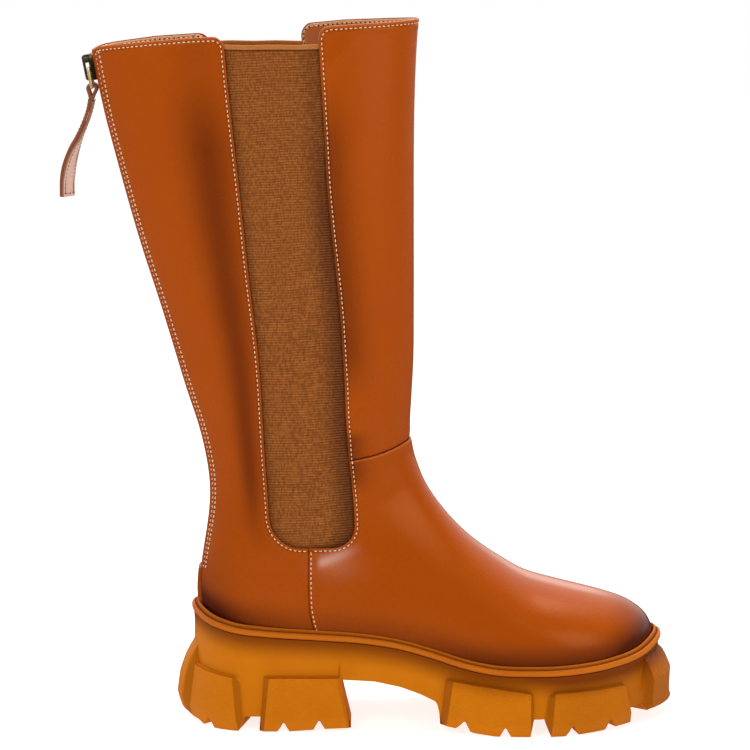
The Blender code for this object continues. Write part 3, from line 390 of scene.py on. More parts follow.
def panel_fields():
    """How far each point of the last's face lies from the windows, seams, collar and zip."""
    flat = LAST[:, :, [0, 2]]
    opening = np.zeros((ROWS, COLUMNS))
    for side, part in ((LATERAL, slice(0, MIDDLE + 1)), (MEDIAL, slice(MIDDLE, COLUMNS))):
        line, points = window(side), flat[:, part].reshape(-1, 2)
        opening[:, part] = (distance_to(line, points) * outside(line, points)).reshape(ROWS, -1)
    x, z, y = LAST[..., 0], LAST[..., 2], LAST[..., 1]
    ahead = true_length(x - along(SIDE_SEAM, z)[..., 0])
    above = true_length(z - along(FRONT_SEAM, x)[..., 0])
    steps = np.linalg.norm(np.diff(LAST, axis=0), axis=2)
    collar = np.vstack([np.cumsum(steps[::-1], axis=0)[::-1], np.zeros((1, COLUMNS))])
    steps = np.linalg.norm(np.diff(LAST, axis=1), axis=2)
    run = np.hstack([np.zeros((ROWS, 1)), np.cumsum(steps, axis=1)])
    back = np.minimum(run, run[:, -1:] - run)
    back = np.where(z > SLIT_FOOT - 20, back, 60.0)
    slit = np.where(z > SLIT_FOOT - 1, SLIT, 0.05)
    return {"opening": true_length(opening), "ahead": ahead, "above": above, "collar": collar,
            "zip": back - slit, "x": x, "y": y, "z": z}


FIELDS = panel_fields()


def field(name):
    return lambda places: read(FIELDS[name], places)


def rounded(a, b, radius):
    """Distance from two edges that meet in a rounded corner."""
    inner = radius - np.hypot(np.clip(radius - a, 0, None), np.clip(radius - b, 0, None))
    return np.where((a < radius) & (b < radius), inner, np.minimum(a, b))


def fold_line(places):
    """Distance from a panel's folded edges: window, collar and zip."""
    opening, collar, back = (read(FIELDS[name], places) for name in ("opening", "collar", "zip"))
    corner = np.where(read(FIELDS["ahead"], places) > 0, FRONT_CORNER, REAR_CORNER)
    return rounded(rounded(opening, collar, corner), back, ZIP_CORNER)


def drop_behind(places, faces, keep):
    """Leaves out the faces that keep doesn't mark, and the points that no face uses."""
    faces = faces[keep]
    used = np.unique(faces)
    lookup = np.zeros(len(places), dtype=int)
    lookup[used] = np.arange(len(used))
    return used, lookup[faces]


def cut_along(places, faces, fixed, measure, value):
    """Splits faces along the line where a measure has one value; near points slide onto it."""
    level = measure(places) - value
    count = len(places)
    crossing = faces[level[faces].min(1) * level[faces].max(1) < 0]
    pairs = np.sort(crossing[:, [[0, 1], [1, 2], [2, 0]]].reshape(-1, 2), axis=1)
    keys = np.unique(pairs[:, 0] * count + pairs[:, 1])
    edges = np.column_stack([keys // count, keys % count])
    for _ in range(2):
        a, b = edges.T
        share = np.where(level[a] * level[b] < 0, level[a] / np.where(level[a] == level[b], 1, level[a] - level[b]), 0.5)
        for end, close in ((a, share < 0.22), (b, share > 0.78)):
            close = close & ~fixed[end]
            places[end[close]] = (places[a] + share[:, None] * (places[b] - places[a]))[close]
            level[end[close]] = 0.0
            fixed[end[close]] = True
    level[np.abs(level) < 0.01] = 0.0
    sign = np.sign(level)
    a, b = edges.T
    crossed = edges[sign[a] * sign[b] < 0]
    a, b = crossed.T
    share = level[a] / (level[a] - level[b])
    keys = a * count + b
    places = np.vstack([places, places[a] + share[:, None] * (places[b] - places[a])])
    fixed = np.concatenate([fixed, np.ones(len(crossed), dtype=bool)])

    def between(p, q):
        return count + np.searchsorted(keys, np.minimum(p, q) * count + np.maximum(p, q))

    face_sign = sign[faces]
    mixed = (face_sign > 0).any(1) & (face_sign < 0).any(1)
    whole = faces[~mixed]
    touching = mixed & (face_sign == 0).any(1)
    first = np.argmax(face_sign[touching] == 0, axis=1)
    o, p, q = (faces[touching][np.arange(len(first)), (first + k) % 3] for k in range(3))
    m = between(p, q)
    halves = [np.column_stack([o, p, m]), np.column_stack([o, m, q])]
    parted = mixed & ~(face_sign == 0).any(1)
    lone = face_sign[parted] == -face_sign[parted].sum(1, keepdims=True)
    first = np.argmax(lone, axis=1)
    o, p, q = (faces[parted][np.arange(len(first)), (first + k) % 3] for k in range(3))
    m, n = between(o, p), between(o, q)
    thirds = [np.column_stack([o, m, n]), np.column_stack([m, p, q]), np.column_stack([m, q, n])]
    level = np.concatenate([level, np.zeros(len(crossed))])
    return places, np.vstack([whole, *halves, *thirds]), fixed, level


def cut_panel(columns, edges, lines, step=1):
    """One panel's points and faces: trimmed behind its edges, then lined along each line."""
    rows, wide = (ROWS - 1) // step + 1, (columns[1] - columns[0]) // step + 1
    r, c = np.mgrid[0:rows, 0:wide] * step
    places = np.column_stack([r.ravel(), c.ravel() + columns[0]]).astype(float)
    corner = (np.arange(rows - 1)[:, None] * wide + np.arange(wide - 1)).ravel()
    faces = np.vstack([np.column_stack([corner, corner + 1, corner + wide + 1]),
                       np.column_stack([corner, corner + wide + 1, corner + wide])])
    fixed = (places[:, 0] == 0) | (places[:, 0] == ROWS - 1)
    fixed |= (places[:, 1] == columns[0]) | (places[:, 1] == columns[1])
    for measure in edges:
        places, faces, fixed, level = cut_along(places, faces, fixed, measure, 0.0)
        used, faces = drop_behind(places, faces, (level[faces] >= 0).all(1) & (level[faces] > 0).any(1))
        places, fixed = places[used], fixed[used]
    for measure, values in lines:
        for value in values:
            places, faces, fixed, _ = cut_along(places, faces, fixed, measure, value)
    return places, faces


def bump(d, low, high):
    """A smooth rise from 0 at low to 1 at high."""
    t = np.clip((d - low) / (high - low), 0, 1)
    return t * t * (3 - 2 * t)


def hill(d, middle, reach):
    return np.exp(-((d - middle) / reach) ** 2)


def sewn_line(places):
    """Distance from the folded edges, but from further in along the zip."""
    opening, collar, back = (read(FIELDS[name], places) for name in ("opening", "collar", "zip"))
    corner = np.where(read(FIELDS["ahead"], places) > 0, FRONT_CORNER, REAR_CORNER)
    return rounded(rounded(opening + GORE_NEARER, collar, corner), back - ZIP_ROWS[0] + STITCH_AT, ZIP_CORNER)


rows = []


def folded(places, roll=0.55):
    """Height of a folded and stitched edge: rolled over, doubled, pulled down by its stitches."""
    edge, sewn = np.clip(fold_line(places) / 0.7, 0, 1), sewn_line(places)
    doubled = 0.30 * (1 - bump(sewn, 1.4, 2.4)) + 0.18 * hill(sewn, 3.6, 1.0)
    return -roll * (1 - np.sqrt(1 - (1 - edge) ** 2)) + doubled - 0.34 * hill(sewn, STITCH_AT, 0.42)


SOFT_CREASES = (  # x, z, length and half-width, slant in degrees, height of soft troughs and swells
    (38, 97, 10, 3.6, 6, 1.5), (36, 88, 14, 8.0, 62, 0.4), (62, 149, 16, 3.2, 12, -0.35),
    (66, 138, 24, 7.0, 24, 0.45), (8, 84, 22, 8.0, 4, 0.5), (-14, 112, 22, 7.0, -64, -0.35),
    (88, 112, 26, 7.0, -50, -0.3), (120, 82, 30, 8.0, -38, 0.35), (60, 84, 30, 9.0, 8, -0.25),
    (2, 150, 34, 9.0, 78, 0.35), (-24, 190, 30, 8.0, 72, -0.3), (45, 383, 12, 4.5, 42, 0.7), (49, 172, 12, 6.0, 60, 0.7),
)


def creases(x, z):
    """Soft folds that the leather takes at the ankle and instep, at listed places."""
    total = np.zeros(len(x))
    for at_x, at_z, length, half, slant, height in SOFT_CREASES:
        turn = math.radians(slant)
        run = (x - at_x) * math.cos(turn) + (z - at_z) * math.sin(turn)
        off = -(x - at_x) * math.sin(turn) + (z - at_z) * math.cos(turn)
        total += height * np.exp(-(run / length) ** 2 - (off / half) ** 2)
    return total


def quarter_height(places):
    """Face of a rear panel; its front edge dives under the vamp."""
    x, z, ahead = (read(FIELDS[name], places) for name in ("x", "z", "ahead"))
    under = bump(ahead, -SEAM_LAP - 0.9, -SEAM_LAP - 0.1)
    face = folded(places) * (1 - under) + 0.6 * creases(x, z) * bump(-ahead, 2, 12)
    face += 0.16 * hill(ahead, -SEAM_LAP - 2.2, 1.0) * (z < 104)
    return face - (UNDER + 0.1) * under


def vamp_edge(places):
    """Distance inside the vamp's lapped side edge."""
    return read(FIELDS["ahead"], places) + SEAM_LAP


def vamp_height(places):
    x, z, above = (read(FIELDS[name], places) for name in ("x", "z", "above"))
    side = vamp_edge(places)
    lap = np.minimum(side, -above)
    edge = np.clip(np.minimum(lap, fold_line(places)) / 0.7, 0, 1)
    roll = -0.55 * (1 - np.sqrt(1 - (1 - edge) ** 2))
    face = 0.34 * (1 - bump(lap, 1.5, 14)) + roll
    face -= 0.30 * hill(side, SEAM_LAP, 0.42) + 0.20 * hill(side, 3.6, 1.0)
    face += (folded(places, 0.0)) * bump(lap, 0, 2.0)
    return face + creases(x, z) * bump(side, 3, 9) * bump(-above, 1, 6)


def shaft_height(places):
    """Face of the shaft's front; its foot turns in under the vamp's top edge."""
    x, z, above = (read(FIELDS[name], places) for name in ("x", "z", "above"))
    under = 1 - bump(above, 0.0, 1.5)
    turn_in = 0.5 * (1 - bump(above, 0.5, 5.0))
    return folded(places) * (1 - under) - (UNDER - 0.1) * under - turn_in + creases(x, z) * bump(above, 3, 9)


def leather_shell(name, places, faces, height, paint, material, deepest=-1.2, thick=LEATHER):
    """Closed panel: face, flesh side and edge, with the painted attributes that paint gives it, such as burnish,
    painted shade and painted highlights.
    """
    points, outwards = read(LAST, places), read(NORMALS, places)
    outwards /= np.linalg.norm(outwards, axis=1, keepdims=True)
    rise = height(places)
    a, b, c = (points[faces[:, k]] for k in range(3))
    if (np.cross(b - a, c - a) * outwards[faces[:, 0]]).sum() < 0:
        faces = faces[:, ::-1]
    count = len(points)
    shell = np.vstack([points + rise[:, None] * outwards,
                       points + np.maximum(np.minimum(rise, 0.0) - thick, deepest)[:, None] * outwards])
    sides = np.vstack([faces[:, [0, 1]], faces[:, [1, 2]], faces[:, [2, 0]]])
    keys = np.sort(sides, axis=1) @ (count, 1)
    _, first, times = np.unique(keys, return_index=True, return_counts=True)
    rim = sides[first[times == 1]]
    walls = np.column_stack([rim[:, 1], rim[:, 0], rim[:, 0] + count, rim[:, 1] + count])
    mesh = bpy.data.meshes.new(name)
    mesh.from_pydata((shell * MM).tolist(), [], np.vstack([faces, faces[:, ::-1] + count]).tolist() + walls.tolist())
    for label, values in paint(places).items():
        layer = mesh.attributes.new(label, "FLOAT", "POINT")
        layer.data.foreach_set("value", np.tile(values, 2).astype(np.float32))
    work = bmesh.new()
    work.from_mesh(mesh)
    bmesh.ops.remove_doubles(work, verts=work.verts, dist=0.004 * MM)
    work.to_mesh(mesh)
    work.free()
    mesh.shade_smooth()
    mesh.materials.append(material)
    piece = bpy.data.objects.new(name, mesh)
    scene.collection.objects.link(piece)
    return piece


def burnish_and_shade(places):
    """Brushed burnish beside the gores' edges, darker towards the welt, heel and toe, painted shade along
    the stitch grooves, and painted highlights along folded edges, on a bulge and on the toe's ridge.
    """
    x, z, opening, collar, ahead = (read(FIELDS[name], places) for name in ("x", "z", "opening", "collar", "ahead"))
    welt = z - along(WELT_TOP, x)[:, 0]
    tall = bump(z, 110, 380)
    behind = hill(opening, 9 + 7 * tall, 6.5 + 8 * tall) * (ahead < 0) * bump(z, 92, 150) * (1 - 0.75 * bump(z, 325, 378))
    before = hill(opening, 2, 11) * (ahead > 0) * bump(z, 185, 220) * (1 - bump(z, 325, 372))
    below = hill(opening, 1, 9) * (ahead > 0) * bump(z, 132, 150) * (1 - bump(z, 166, 173))
    # Brushed burnish beside the gores; the last term is painted shade along the stitch grooves.
    dark = 0.66 * behind + 0.55 * before + 0.6 * below + 0.4 * hill(sewn_line(places), STITCH_AT, 0.8)
    dark += 0.8 * (1 - bump(welt, 0, 18)) * (0.5 + 0.5 * bump(np.abs(x - 50), 24, 80))
    dark += 0.72 * bump(x, 190, 226)
    dark += 0.5 * (1 - bump(x, -42, -6)) * (1 - bump(z, 62, 108))
    # Painted highlight along the folded edges, strongest at the collar and along the vamp's top edge.
    fold_highlight = np.maximum(0.8 * (1 - bump(collar, 0.9, 1.7)), 0.15 * (1 - bump(fold_line(places), 0.9, 1.7)))
    fold_highlight = np.maximum(fold_highlight, (1 - bump(np.abs(read(FIELDS["above"], places) + 0.5), 0.3, 0.8)) * (ahead > 1))
    # Painted highlight (pull): a pale pink-white on the bulge below the gore's front corner, and along the toe's ridge.
    pull = 0.5 * np.exp(-((z - 97.9 - 0.32 * (x - 34)) / 2.9) ** 2) * bump(x, 28.8, 31.5) * (1 - bump(x, 36, 57))
    pull += 0.1 * np.exp(-((x - 40) / 12) ** 2 - ((z - 95) / 7) ** 2)
    ridge = 1 - bump(np.abs(places[:, 1] - MIDDLE), 2, 14)
    pull = np.maximum(pull, 0.4 * ridge * bump(x, 105, 150) * (1 - bump(x, 184, 206)))
    return {"burnish_and_shade": np.clip(dark, 0, 1), "fold_highlight": fold_highlight, "pull": pull}


leather, leather_tree, leather_shader = new_material("waxed_calf_leather")
# Drum-dyed calf with a wax finish: a deep orange tan, brushed darker beside the gores, darker towards
# the welt, heel and toe, glossy but not wet. Painted shade lies along the stitch grooves, and painted
# highlights along folded edges, on a bulge and on the toe's ridge. Fine pores, 0.5 mm apart in the
# hide, are drawn 1 mm apart so that they show.
place = add_node(leather_tree, "ShaderNodeTexCoord").outputs["Object"]
cloud = add_node(leather_tree, "ShaderNodeTexNoise", {"Vector": place, "Scale": 28.0, "Detail": 5.0, "Roughness": 0.6})
# Burnish, and painted shade in the stitch grooves, darken the tan towards a deep brown.
burnish_shade_mark = add_node(leather_tree, "ShaderNodeAttribute", attribute_name="burnish_and_shade")
fold_highlight = add_node(leather_tree, "ShaderNodeAttribute", attribute_name="fold_highlight")
tan = add_node(leather_tree, "ShaderNodeMix", {"Factor": cloud.outputs["Fac"], 6: linear("#AB4B09"), 7: linear("#A34405")},
               data_type="RGBA")
dark = add_node(leather_tree, "ShaderNodeMix", {"Factor": burnish_shade_mark.outputs["Fac"], 6: tan.outputs[2], 7: linear("#521A05")},
                data_type="RGBA")
# Painted highlight along folded edges: a lighter orange.
edge = add_node(leather_tree, "ShaderNodeMath", {0: fold_highlight.outputs["Fac"], 1: 0.55}, operation="MULTIPLY")
colour = add_node(leather_tree, "ShaderNodeMix", {"Factor": edge.outputs[0], 6: dark.outputs[2], 7: linear("#C0662A")},
                  data_type="RGBA")
# Painted highlight (pull): pale pink-white on the bulge and along the toe's ridge.
pull = add_node(leather_tree, "ShaderNodeAttribute", attribute_name="pull")
colour = add_node(leather_tree, "ShaderNodeMix", {"Factor": pull.outputs["Fac"], 6: colour.outputs[2], 7: linear("#E6B6A4")},
                  data_type="RGBA")
leather_tree.links.new(colour.outputs[2], leather_shader.inputs["Base Color"])
sheen_map = add_node(leather_tree, "ShaderNodeMapRange", {"Value": cloud.outputs["Fac"], "To Min": 0.26, "To Max": 0.29})
leather_tree.links.new(sheen_map.outputs["Result"], leather_shader.inputs["Roughness"])
leather_shader.inputs["IOR"].default_value = 1.48
leather_shader.inputs["Specular IOR Level"].default_value = 0.40
leather_shader.inputs["Specular Tint"].default_value = linear("#FFB07C")
pores = add_node(leather_tree, "ShaderNodeTexVoronoi", {"Vector": place, "Scale": 900.0})
long_grain = add_node(leather_tree, "ShaderNodeTexNoise", {"Vector": place, "Scale": 260.0, "Detail": 3.0})
grain = add_node(leather_tree, "ShaderNodeMath", {0: pores.outputs["Distance"], 1: long_grain.outputs["Fac"]}, operation="ADD")
relief = add_node(leather_tree, "ShaderNodeBump", {"Strength": 0.10, "Distance": 0.0004, "Height": grain.outputs[0]})
leather_tree.links.new(relief.outputs["Normal"], leather_shader.inputs["Normal"])

behind_seam = lambda places: -(read(FIELDS["ahead"], places)) + UNDERLAP - SEAM_LAP
PANELS = (  # name, columns, edges, lines, face
    ("quarter_outer", (0, MIDDLE), (fold_line, behind_seam), ((fold_line, EDGE_LINES),
     (field("ahead"), (-4.2, -2.6, -SEAM_LAP - 0.9, -SEAM_LAP - 0.5, -SEAM_LAP - 0.1))), quarter_height),
    ("quarter_inner", (MIDDLE, COLUMNS - 1), (fold_line, behind_seam), ((fold_line, EDGE_LINES),
     (field("ahead"), (-4.2, -2.6, -SEAM_LAP - 0.9, -SEAM_LAP - 0.5, -SEAM_LAP - 0.1))), quarter_height),
    ("vamp", (0, COLUMNS - 1), (fold_line, vamp_edge, lambda places: -read(FIELDS["above"], places)),
     ((fold_line, EDGE_LINES), (vamp_edge, (0.12, 0.35, 0.7, 1.1, 1.5, 2.2, 3.0, 3.9, 5.0)),
      (field("above"), (-0.12, -0.35, -0.7, -1.5, -2.6))), vamp_height),
    ("shaft_front", (0, COLUMNS - 1), (fold_line, field("ahead"), lambda places: read(FIELDS["above"], places) + UNDERLAP),
     ((fold_line, EDGE_LINES), (field("above"), (0.0, 0.5, 1.0, 1.5, 2.6, 4.0))), shaft_height),
)
leather_parts = {}
for name, columns, edges, lines, height in PANELS:
    places, faces = cut_panel(columns, edges, lines)
    leather_parts[name] = (places, faces, height)
    piece = leather_shell(name, places, faces, height, burnish_and_shade, leather)
    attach(piece, "boot")
    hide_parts("upper")

# ---------------------------------------------------------------- lining
# Thin pigskin lining cemented behind the leather and stepped inwards where the gores' hems lie
# between the two. Its raw edge is pale and shows inside the collar.
LINING_AT, LINING_THICK, HEM_STEP, LINING_INSET, LINING_STEP = 1.3, 0.6, 1.1, 0.7, 2


def lining_edge(places):
    return fold_line(places) - LINING_INSET


def lining_face(places):
    return -LINING_AT - HEM_STEP * (1 - bump(read(FIELDS["opening"], places), 7.5, 11))


def lining_shell():
    places, faces = cut_panel((0, COLUMNS - 1), (lining_edge,), ((lining_edge, (0.8, 2.3, 3.6)),
                              (field("opening"), (7.5, 9.2, 11.0))), LINING_STEP)
    raw = lambda places: {"raw": 1 - bump(lining_edge(places), 0.5, 1.1)}
    return leather_shell("lining", places, faces, lining_face, raw, lining_hide, -9.0, LINING_THICK)


lining_hide, lining_tree, lining_shader = new_material("pigskin_lining")
# Unfinished pigskin: dull tan, softly mottled, with a paler cut edge.
place = add_node(lining_tree, "ShaderNodeTexCoord").outputs["Object"]
mottle = add_node(lining_tree, "ShaderNodeTexNoise", {"Vector": place, "Scale": 190.0, "Detail": 4.0})
raw = add_node(lining_tree, "ShaderNodeAttribute", attribute_name="raw")
tone = add_node(lining_tree, "ShaderNodeMix", {"Factor": mottle.outputs["Fac"], 6: linear("#CC7A40"), 7: linear("#B86A34")},
                data_type="RGBA")
colour = add_node(lining_tree, "ShaderNodeMix", {"Factor": raw.outputs["Fac"], 6: tone.outputs[2], 7: linear("#E6BE90")},
                  data_type="RGBA")
lining_tree.links.new(colour.outputs[2], lining_shader.inputs["Base Color"])
lining_shader.inputs["Roughness"].default_value = 0.72
lining_shader.inputs["Specular IOR Level"].default_value = 0.3
relief = add_node(lining_tree, "ShaderNodeBump", {"Strength": 0.2, "Distance": 0.0003, "Height": mottle.outputs["Fac"]})
lining_tree.links.new(relief.outputs["Normal"], lining_shader.inputs["Normal"])
lining = lining_shell()
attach(lining, "boot")
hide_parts("upper")

# ---------------------------------------------------------------- stitches
# Bonded nylon thread, cream against the tan, at nine or ten stitches to the inch, with a dark disc of
# painted shade for the needle hole between every two. Each stitch is a short arch of thread drawn down at both ends.
STITCH_PITCH, STITCH_LONG, THREAD, HOLE = 2.7, 1.35, 0.76, 1.0


def line_on_last(measure, value, keep):
    """Places along a line on the last's face, as points and the edges between them."""
    r, c = np.mgrid[0:ROWS, 0:COLUMNS]
    places = np.column_stack([r.ravel(), c.ravel()]).astype(float)
    corner = (np.arange(1, ROWS - 1)[:, None] * COLUMNS + np.arange(COLUMNS - 1)).ravel()
    faces = np.vstack([np.column_stack([corner, corner + 1, corner + COLUMNS + 1]),
                       np.column_stack([corner, corner + COLUMNS + 1, corner + COLUMNS])])
    level = measure(places) - value
    level[level == 0] = 1e-6
    sign = level > 0
    faces = faces[(sign[faces].sum(1) % 3) != 0]
    found, segments = {}, []
    for face in faces:
        ends = []
        for p, q in ((face[0], face[1]), (face[1], face[2]), (face[2], face[0])):
            if sign[p] != sign[q]:
                ends.append(found.setdefault((min(p, q), max(p, q)), len(found)))
        segments.append(ends)
    pairs = np.array(list(found))
    share = level[pairs[:, 0]] / (level[pairs[:, 0]] - level[pairs[:, 1]])
    spots = places[pairs[:, 0]] + share[:, None] * (places[pairs[:, 1]] - places[pairs[:, 0]])
    wanted = keep(spots)
    segments = np.array([pair for pair in segments if wanted[pair[0]] and wanted[pair[1]]])
    used, flat = np.unique(segments, return_inverse=True)
    return spots[used], flat.reshape(-1, 2)


def seam_mesh(rows):
    """One mesh of edges along several rows of stitches, with the way out of the leather stored."""
    points, outwards, edges = [], [], []
    for spots, segments, rise, way in rows:
        normals = read(NORMALS, spots)
        normals /= np.linalg.norm(normals, axis=1, keepdims=True)
        edges.append(segments + sum(len(part) for part in points))
        points.append(read(LAST, spots) + rise[:, None] * normals)
        outwards.append(way * normals)
    return edge_mesh(np.vstack(points), np.vstack(outwards), np.vstack(edges))


def edge_mesh(points, outwards, edges):
    mesh = bpy.data.meshes.new("seam_path")
    mesh.from_pydata((points * MM).tolist(), edges.tolist(), [])
    layer = mesh.attributes.new("outwards", "FLOAT_VECTOR", "POINT")
    layer.data.foreach_set("vector", outwards.astype(np.float32).ravel())
    return mesh


def stitch_tree():
    """Geometry nodes: arches of thread, and dark discs of painted shade for the needle holes, at a pitch along a path.
    """
    tree = bpy.data.node_groups.new("stitch_rows", "GeometryNodeTree")
    face = tree.interface
    face.new_socket("Path", in_out="INPUT", socket_type="NodeSocketGeometry")
    for label in ("Pitch", "Stitch length", "Thread", "Hole"):
        face.new_socket(label, in_out="INPUT", socket_type="NodeSocketFloat")
    for label in ("Thread material", "Hole material"):
        face.new_socket(label, in_out="INPUT", socket_type="NodeSocketMaterial")
    face.new_socket("Stitches", in_out="OUTPUT", socket_type="NodeSocketGeometry")
    given = add_node(tree, "NodeGroupInput").outputs
    path = add_node(tree, "GeometryNodeMeshToCurve", {"Mesh": given["Path"]})
    spots = add_node(tree, "GeometryNodeResampleCurve", {"Curve": path.outputs[0], "Length": given["Pitch"]}, mode="LENGTH")
    ahead = add_node(tree, "GeometryNodeInputTangent")
    out = add_node(tree, "GeometryNodeInputNamedAttribute", {"Name": "outwards"}, data_type="FLOAT_VECTOR")
    turn = add_node(tree, "FunctionNodeAxesToRotation", {0: ahead.outputs[0], 1: out.outputs[0]},
                    primary_axis="X", secondary_axis="Z")
    half = add_node(tree, "ShaderNodeMath", {0: given["Stitch length"], 1: 0.5}, operation="MULTIPLY")
    back = add_node(tree, "ShaderNodeMath", {0: half.outputs[0], 1: -1.0}, operation="MULTIPLY")
    deep = add_node(tree, "ShaderNodeMath", {0: given["Thread"], 1: -0.35}, operation="MULTIPLY")
    high = add_node(tree, "ShaderNodeMath", {0: given["Thread"], 1: 0.85}, operation="MULTIPLY")
    start = add_node(tree, "ShaderNodeCombineXYZ", {"X": back.outputs[0], "Z": deep.outputs[0]})
    peak = add_node(tree, "ShaderNodeCombineXYZ", {"Z": high.outputs[0]})
    end = add_node(tree, "ShaderNodeCombineXYZ", {"X": half.outputs[0], "Z": deep.outputs[0]})
    arch = add_node(tree, "GeometryNodeCurveQuadraticBezier",
                    {"Resolution": 5, "Start": start.outputs[0], "Middle": peak.outputs[0], "End": end.outputs[0]})
    girth = add_node(tree, "ShaderNodeMath", {0: given["Thread"], 1: 0.5}, operation="MULTIPLY")
    ring = add_node(tree, "GeometryNodeCurvePrimitiveCircle", {"Resolution": 6, "Radius": girth.outputs[0]})
    thread = add_node(tree, "GeometryNodeCurveToMesh", {"Curve": arch.outputs[0], "Profile Curve": ring.outputs[0],
                      "Fill Caps": True})
    sewn = add_node(tree, "GeometryNodeInstanceOnPoints", {"Points": spots.outputs[0], "Instance": thread.outputs[0],
                    "Rotation": turn.outputs[0]})
    sewn = add_node(tree, "GeometryNodeRealizeInstances", {0: sewn.outputs[0]})
    sewn = add_node(tree, "GeometryNodeSetMaterial", {0: sewn.outputs[0], "Material": given["Thread material"]})
    step = add_node(tree, "ShaderNodeMath", {0: given["Pitch"], 1: 0.5}, operation="MULTIPLY")
    shift = add_node(tree, "ShaderNodeCombineXYZ", {"X": step.outputs[0]})
    wide = add_node(tree, "ShaderNodeMath", {0: given["Hole"], 1: 0.5}, operation="MULTIPLY")
    low = add_node(tree, "ShaderNodeMath", {0: given["Hole"], 1: 0.10}, operation="MULTIPLY")
    dot = add_node(tree, "GeometryNodeMeshCylinder", {"Vertices": 8, "Radius": wide.outputs[0], "Depth": low.outputs[0]})
    dot = add_node(tree, "GeometryNodeTransform", {"Geometry": dot.outputs[0], "Translation": shift.outputs[0]})
    holes = add_node(tree, "GeometryNodeInstanceOnPoints", {"Points": spots.outputs[0], "Instance": dot.outputs[0],
                     "Rotation": turn.outputs[0]})
    holes = add_node(tree, "GeometryNodeRealizeInstances", {0: holes.outputs[0]})
    holes = add_node(tree, "GeometryNodeSetMaterial", {0: holes.outputs[0], "Material": given["Hole material"]})
    both = add_node(tree, "GeometryNodeJoinGeometry")
    for part in (holes, sewn):
        tree.links.new(part.outputs[0], both.inputs[0])
    add_node(tree, "NodeGroupOutput", {0: both.outputs[0]})
    return tree


def grow(name, path, tree, values):
    """A plain mesh piece from a geometry-nodes tree on a path, its inputs set by name."""
    source = bpy.data.objects.new(name + "_path", path)
    scene.collection.objects.link(source)
    step = source.modifiers.new("nodes", "NODES")
    step.node_group = tree
    for item in tree.interface.items_tree:
        if item.in_out == "INPUT" and item.name in values:
            step[item.identifier] = values[item.name]
    bpy.context.view_layer.update()
    shape = source.evaluated_get(bpy.context.evaluated_depsgraph_get())
    mesh = bpy.data.meshes.new_from_object(shape)
    bpy.data.objects.remove(source)
    mesh.name = name
    piece = bpy.data.objects.new(name, mesh)
    scene.collection.objects.link(piece)
    return piece


thread_nylon, thread_tree, thread_shader = new_material("bonded_nylon_thread")
# Twisted and bonded nylon: cream with a slight silk gloss, its twist drawn 0.5 mm coarse.
place = add_node(thread_tree, "ShaderNodeTexCoord").outputs["Object"]
twist = add_node(thread_tree, "ShaderNodeTexNoise", {"Vector": place, "Scale": 1800.0})
colour = add_node(thread_tree, "ShaderNodeMix", {"Factor": twist.outputs["Fac"], 6: linear("#FFDDB4"), 7: linear("#E5AE78")},
                  data_type="RGBA")
thread_tree.links.new(colour.outputs[2], thread_shader.inputs["Base Color"])
thread_shader.inputs["Roughness"].default_value = 0.5
needle_hole_shade, hole_tree, hole_shader = new_material("needle_hole_painted_shade")
# Painted shade of a needle hole: a dark brown disc, fully dull.
place = add_node(hole_tree, "ShaderNodeTexCoord").outputs["Object"]
hole_noise = add_node(hole_tree, "ShaderNodeTexNoise", {"Vector": place, "Scale": 900.0})
colour = add_node(hole_tree, "ShaderNodeMix", {"Factor": hole_noise.outputs["Fac"], 6: linear("#3C1604"), 7: linear("#6B2C08")},
                  data_type="RGBA")
hole_tree.links.new(colour.outputs[2], hole_shader.inputs["Base Color"])
hole_shader.inputs["Roughness"].default_value = 0.9

ON_QUARTER = lambda spots: (read(FIELDS["ahead"], spots) < -SEAM_LAP - 1.6) & (read(FIELDS["z"], spots) > SLIT_FOOT - 1)
ON_SHAFT = lambda spots: (read(FIELDS["ahead"], spots) > 1.6) & (read(FIELDS["above"], spots) > 0.6)
ON_VAMP = lambda spots: (read(FIELDS["ahead"], spots) > 2.2) & (read(FIELDS["above"], spots) < -0.6)
for where, face in ((ON_QUARTER, quarter_height), (ON_SHAFT, shaft_height), (ON_VAMP, vamp_height)):
    spots, segments = line_on_last(sewn_line, STITCH_AT, where)
    rows.append((spots, segments, face(spots) + 0.02, 1))
below = lambda spots: (read(FIELDS["opening"], spots) > STITCH_AT + 0.9) & (read(FIELDS["z"], spots) < 103)
spots, segments = line_on_last(vamp_edge, SEAM_LAP, below)
rows.append((spots, segments, vamp_height(spots) + 0.02, 1))
inner_row = lambda spots: (read(FIELDS["z"], spots) > SLIT_FOOT + 1) & (read(FIELDS["collar"], spots) > 2.0) & ON_QUARTER(spots)
spots, segments = line_on_last(field("zip"), ZIP_ROWS[1], inner_row)
rows.append((spots, segments, quarter_height(spots) + 0.05, 1))
spots, segments = line_on_last(sewn_line, STITCH_AT, lambda spots: read(FIELDS["z"], spots) > 330)
rows.append((spots, segments, lining_face(spots) - LINING_THICK - 0.02, -1))
stitch_nodes = stitch_tree()
stitch_sizes = {"Pitch": STITCH_PITCH * MM, "Stitch length": STITCH_LONG * MM, "Thread": THREAD * MM, "Hole": HOLE * MM,
                "Thread material": thread_nylon, "Hole material": needle_hole_shade}
stitching = grow("upper_stitching", seam_mesh(rows), stitch_nodes, stitch_sizes)
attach(stitching, "boot")
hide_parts("upper")
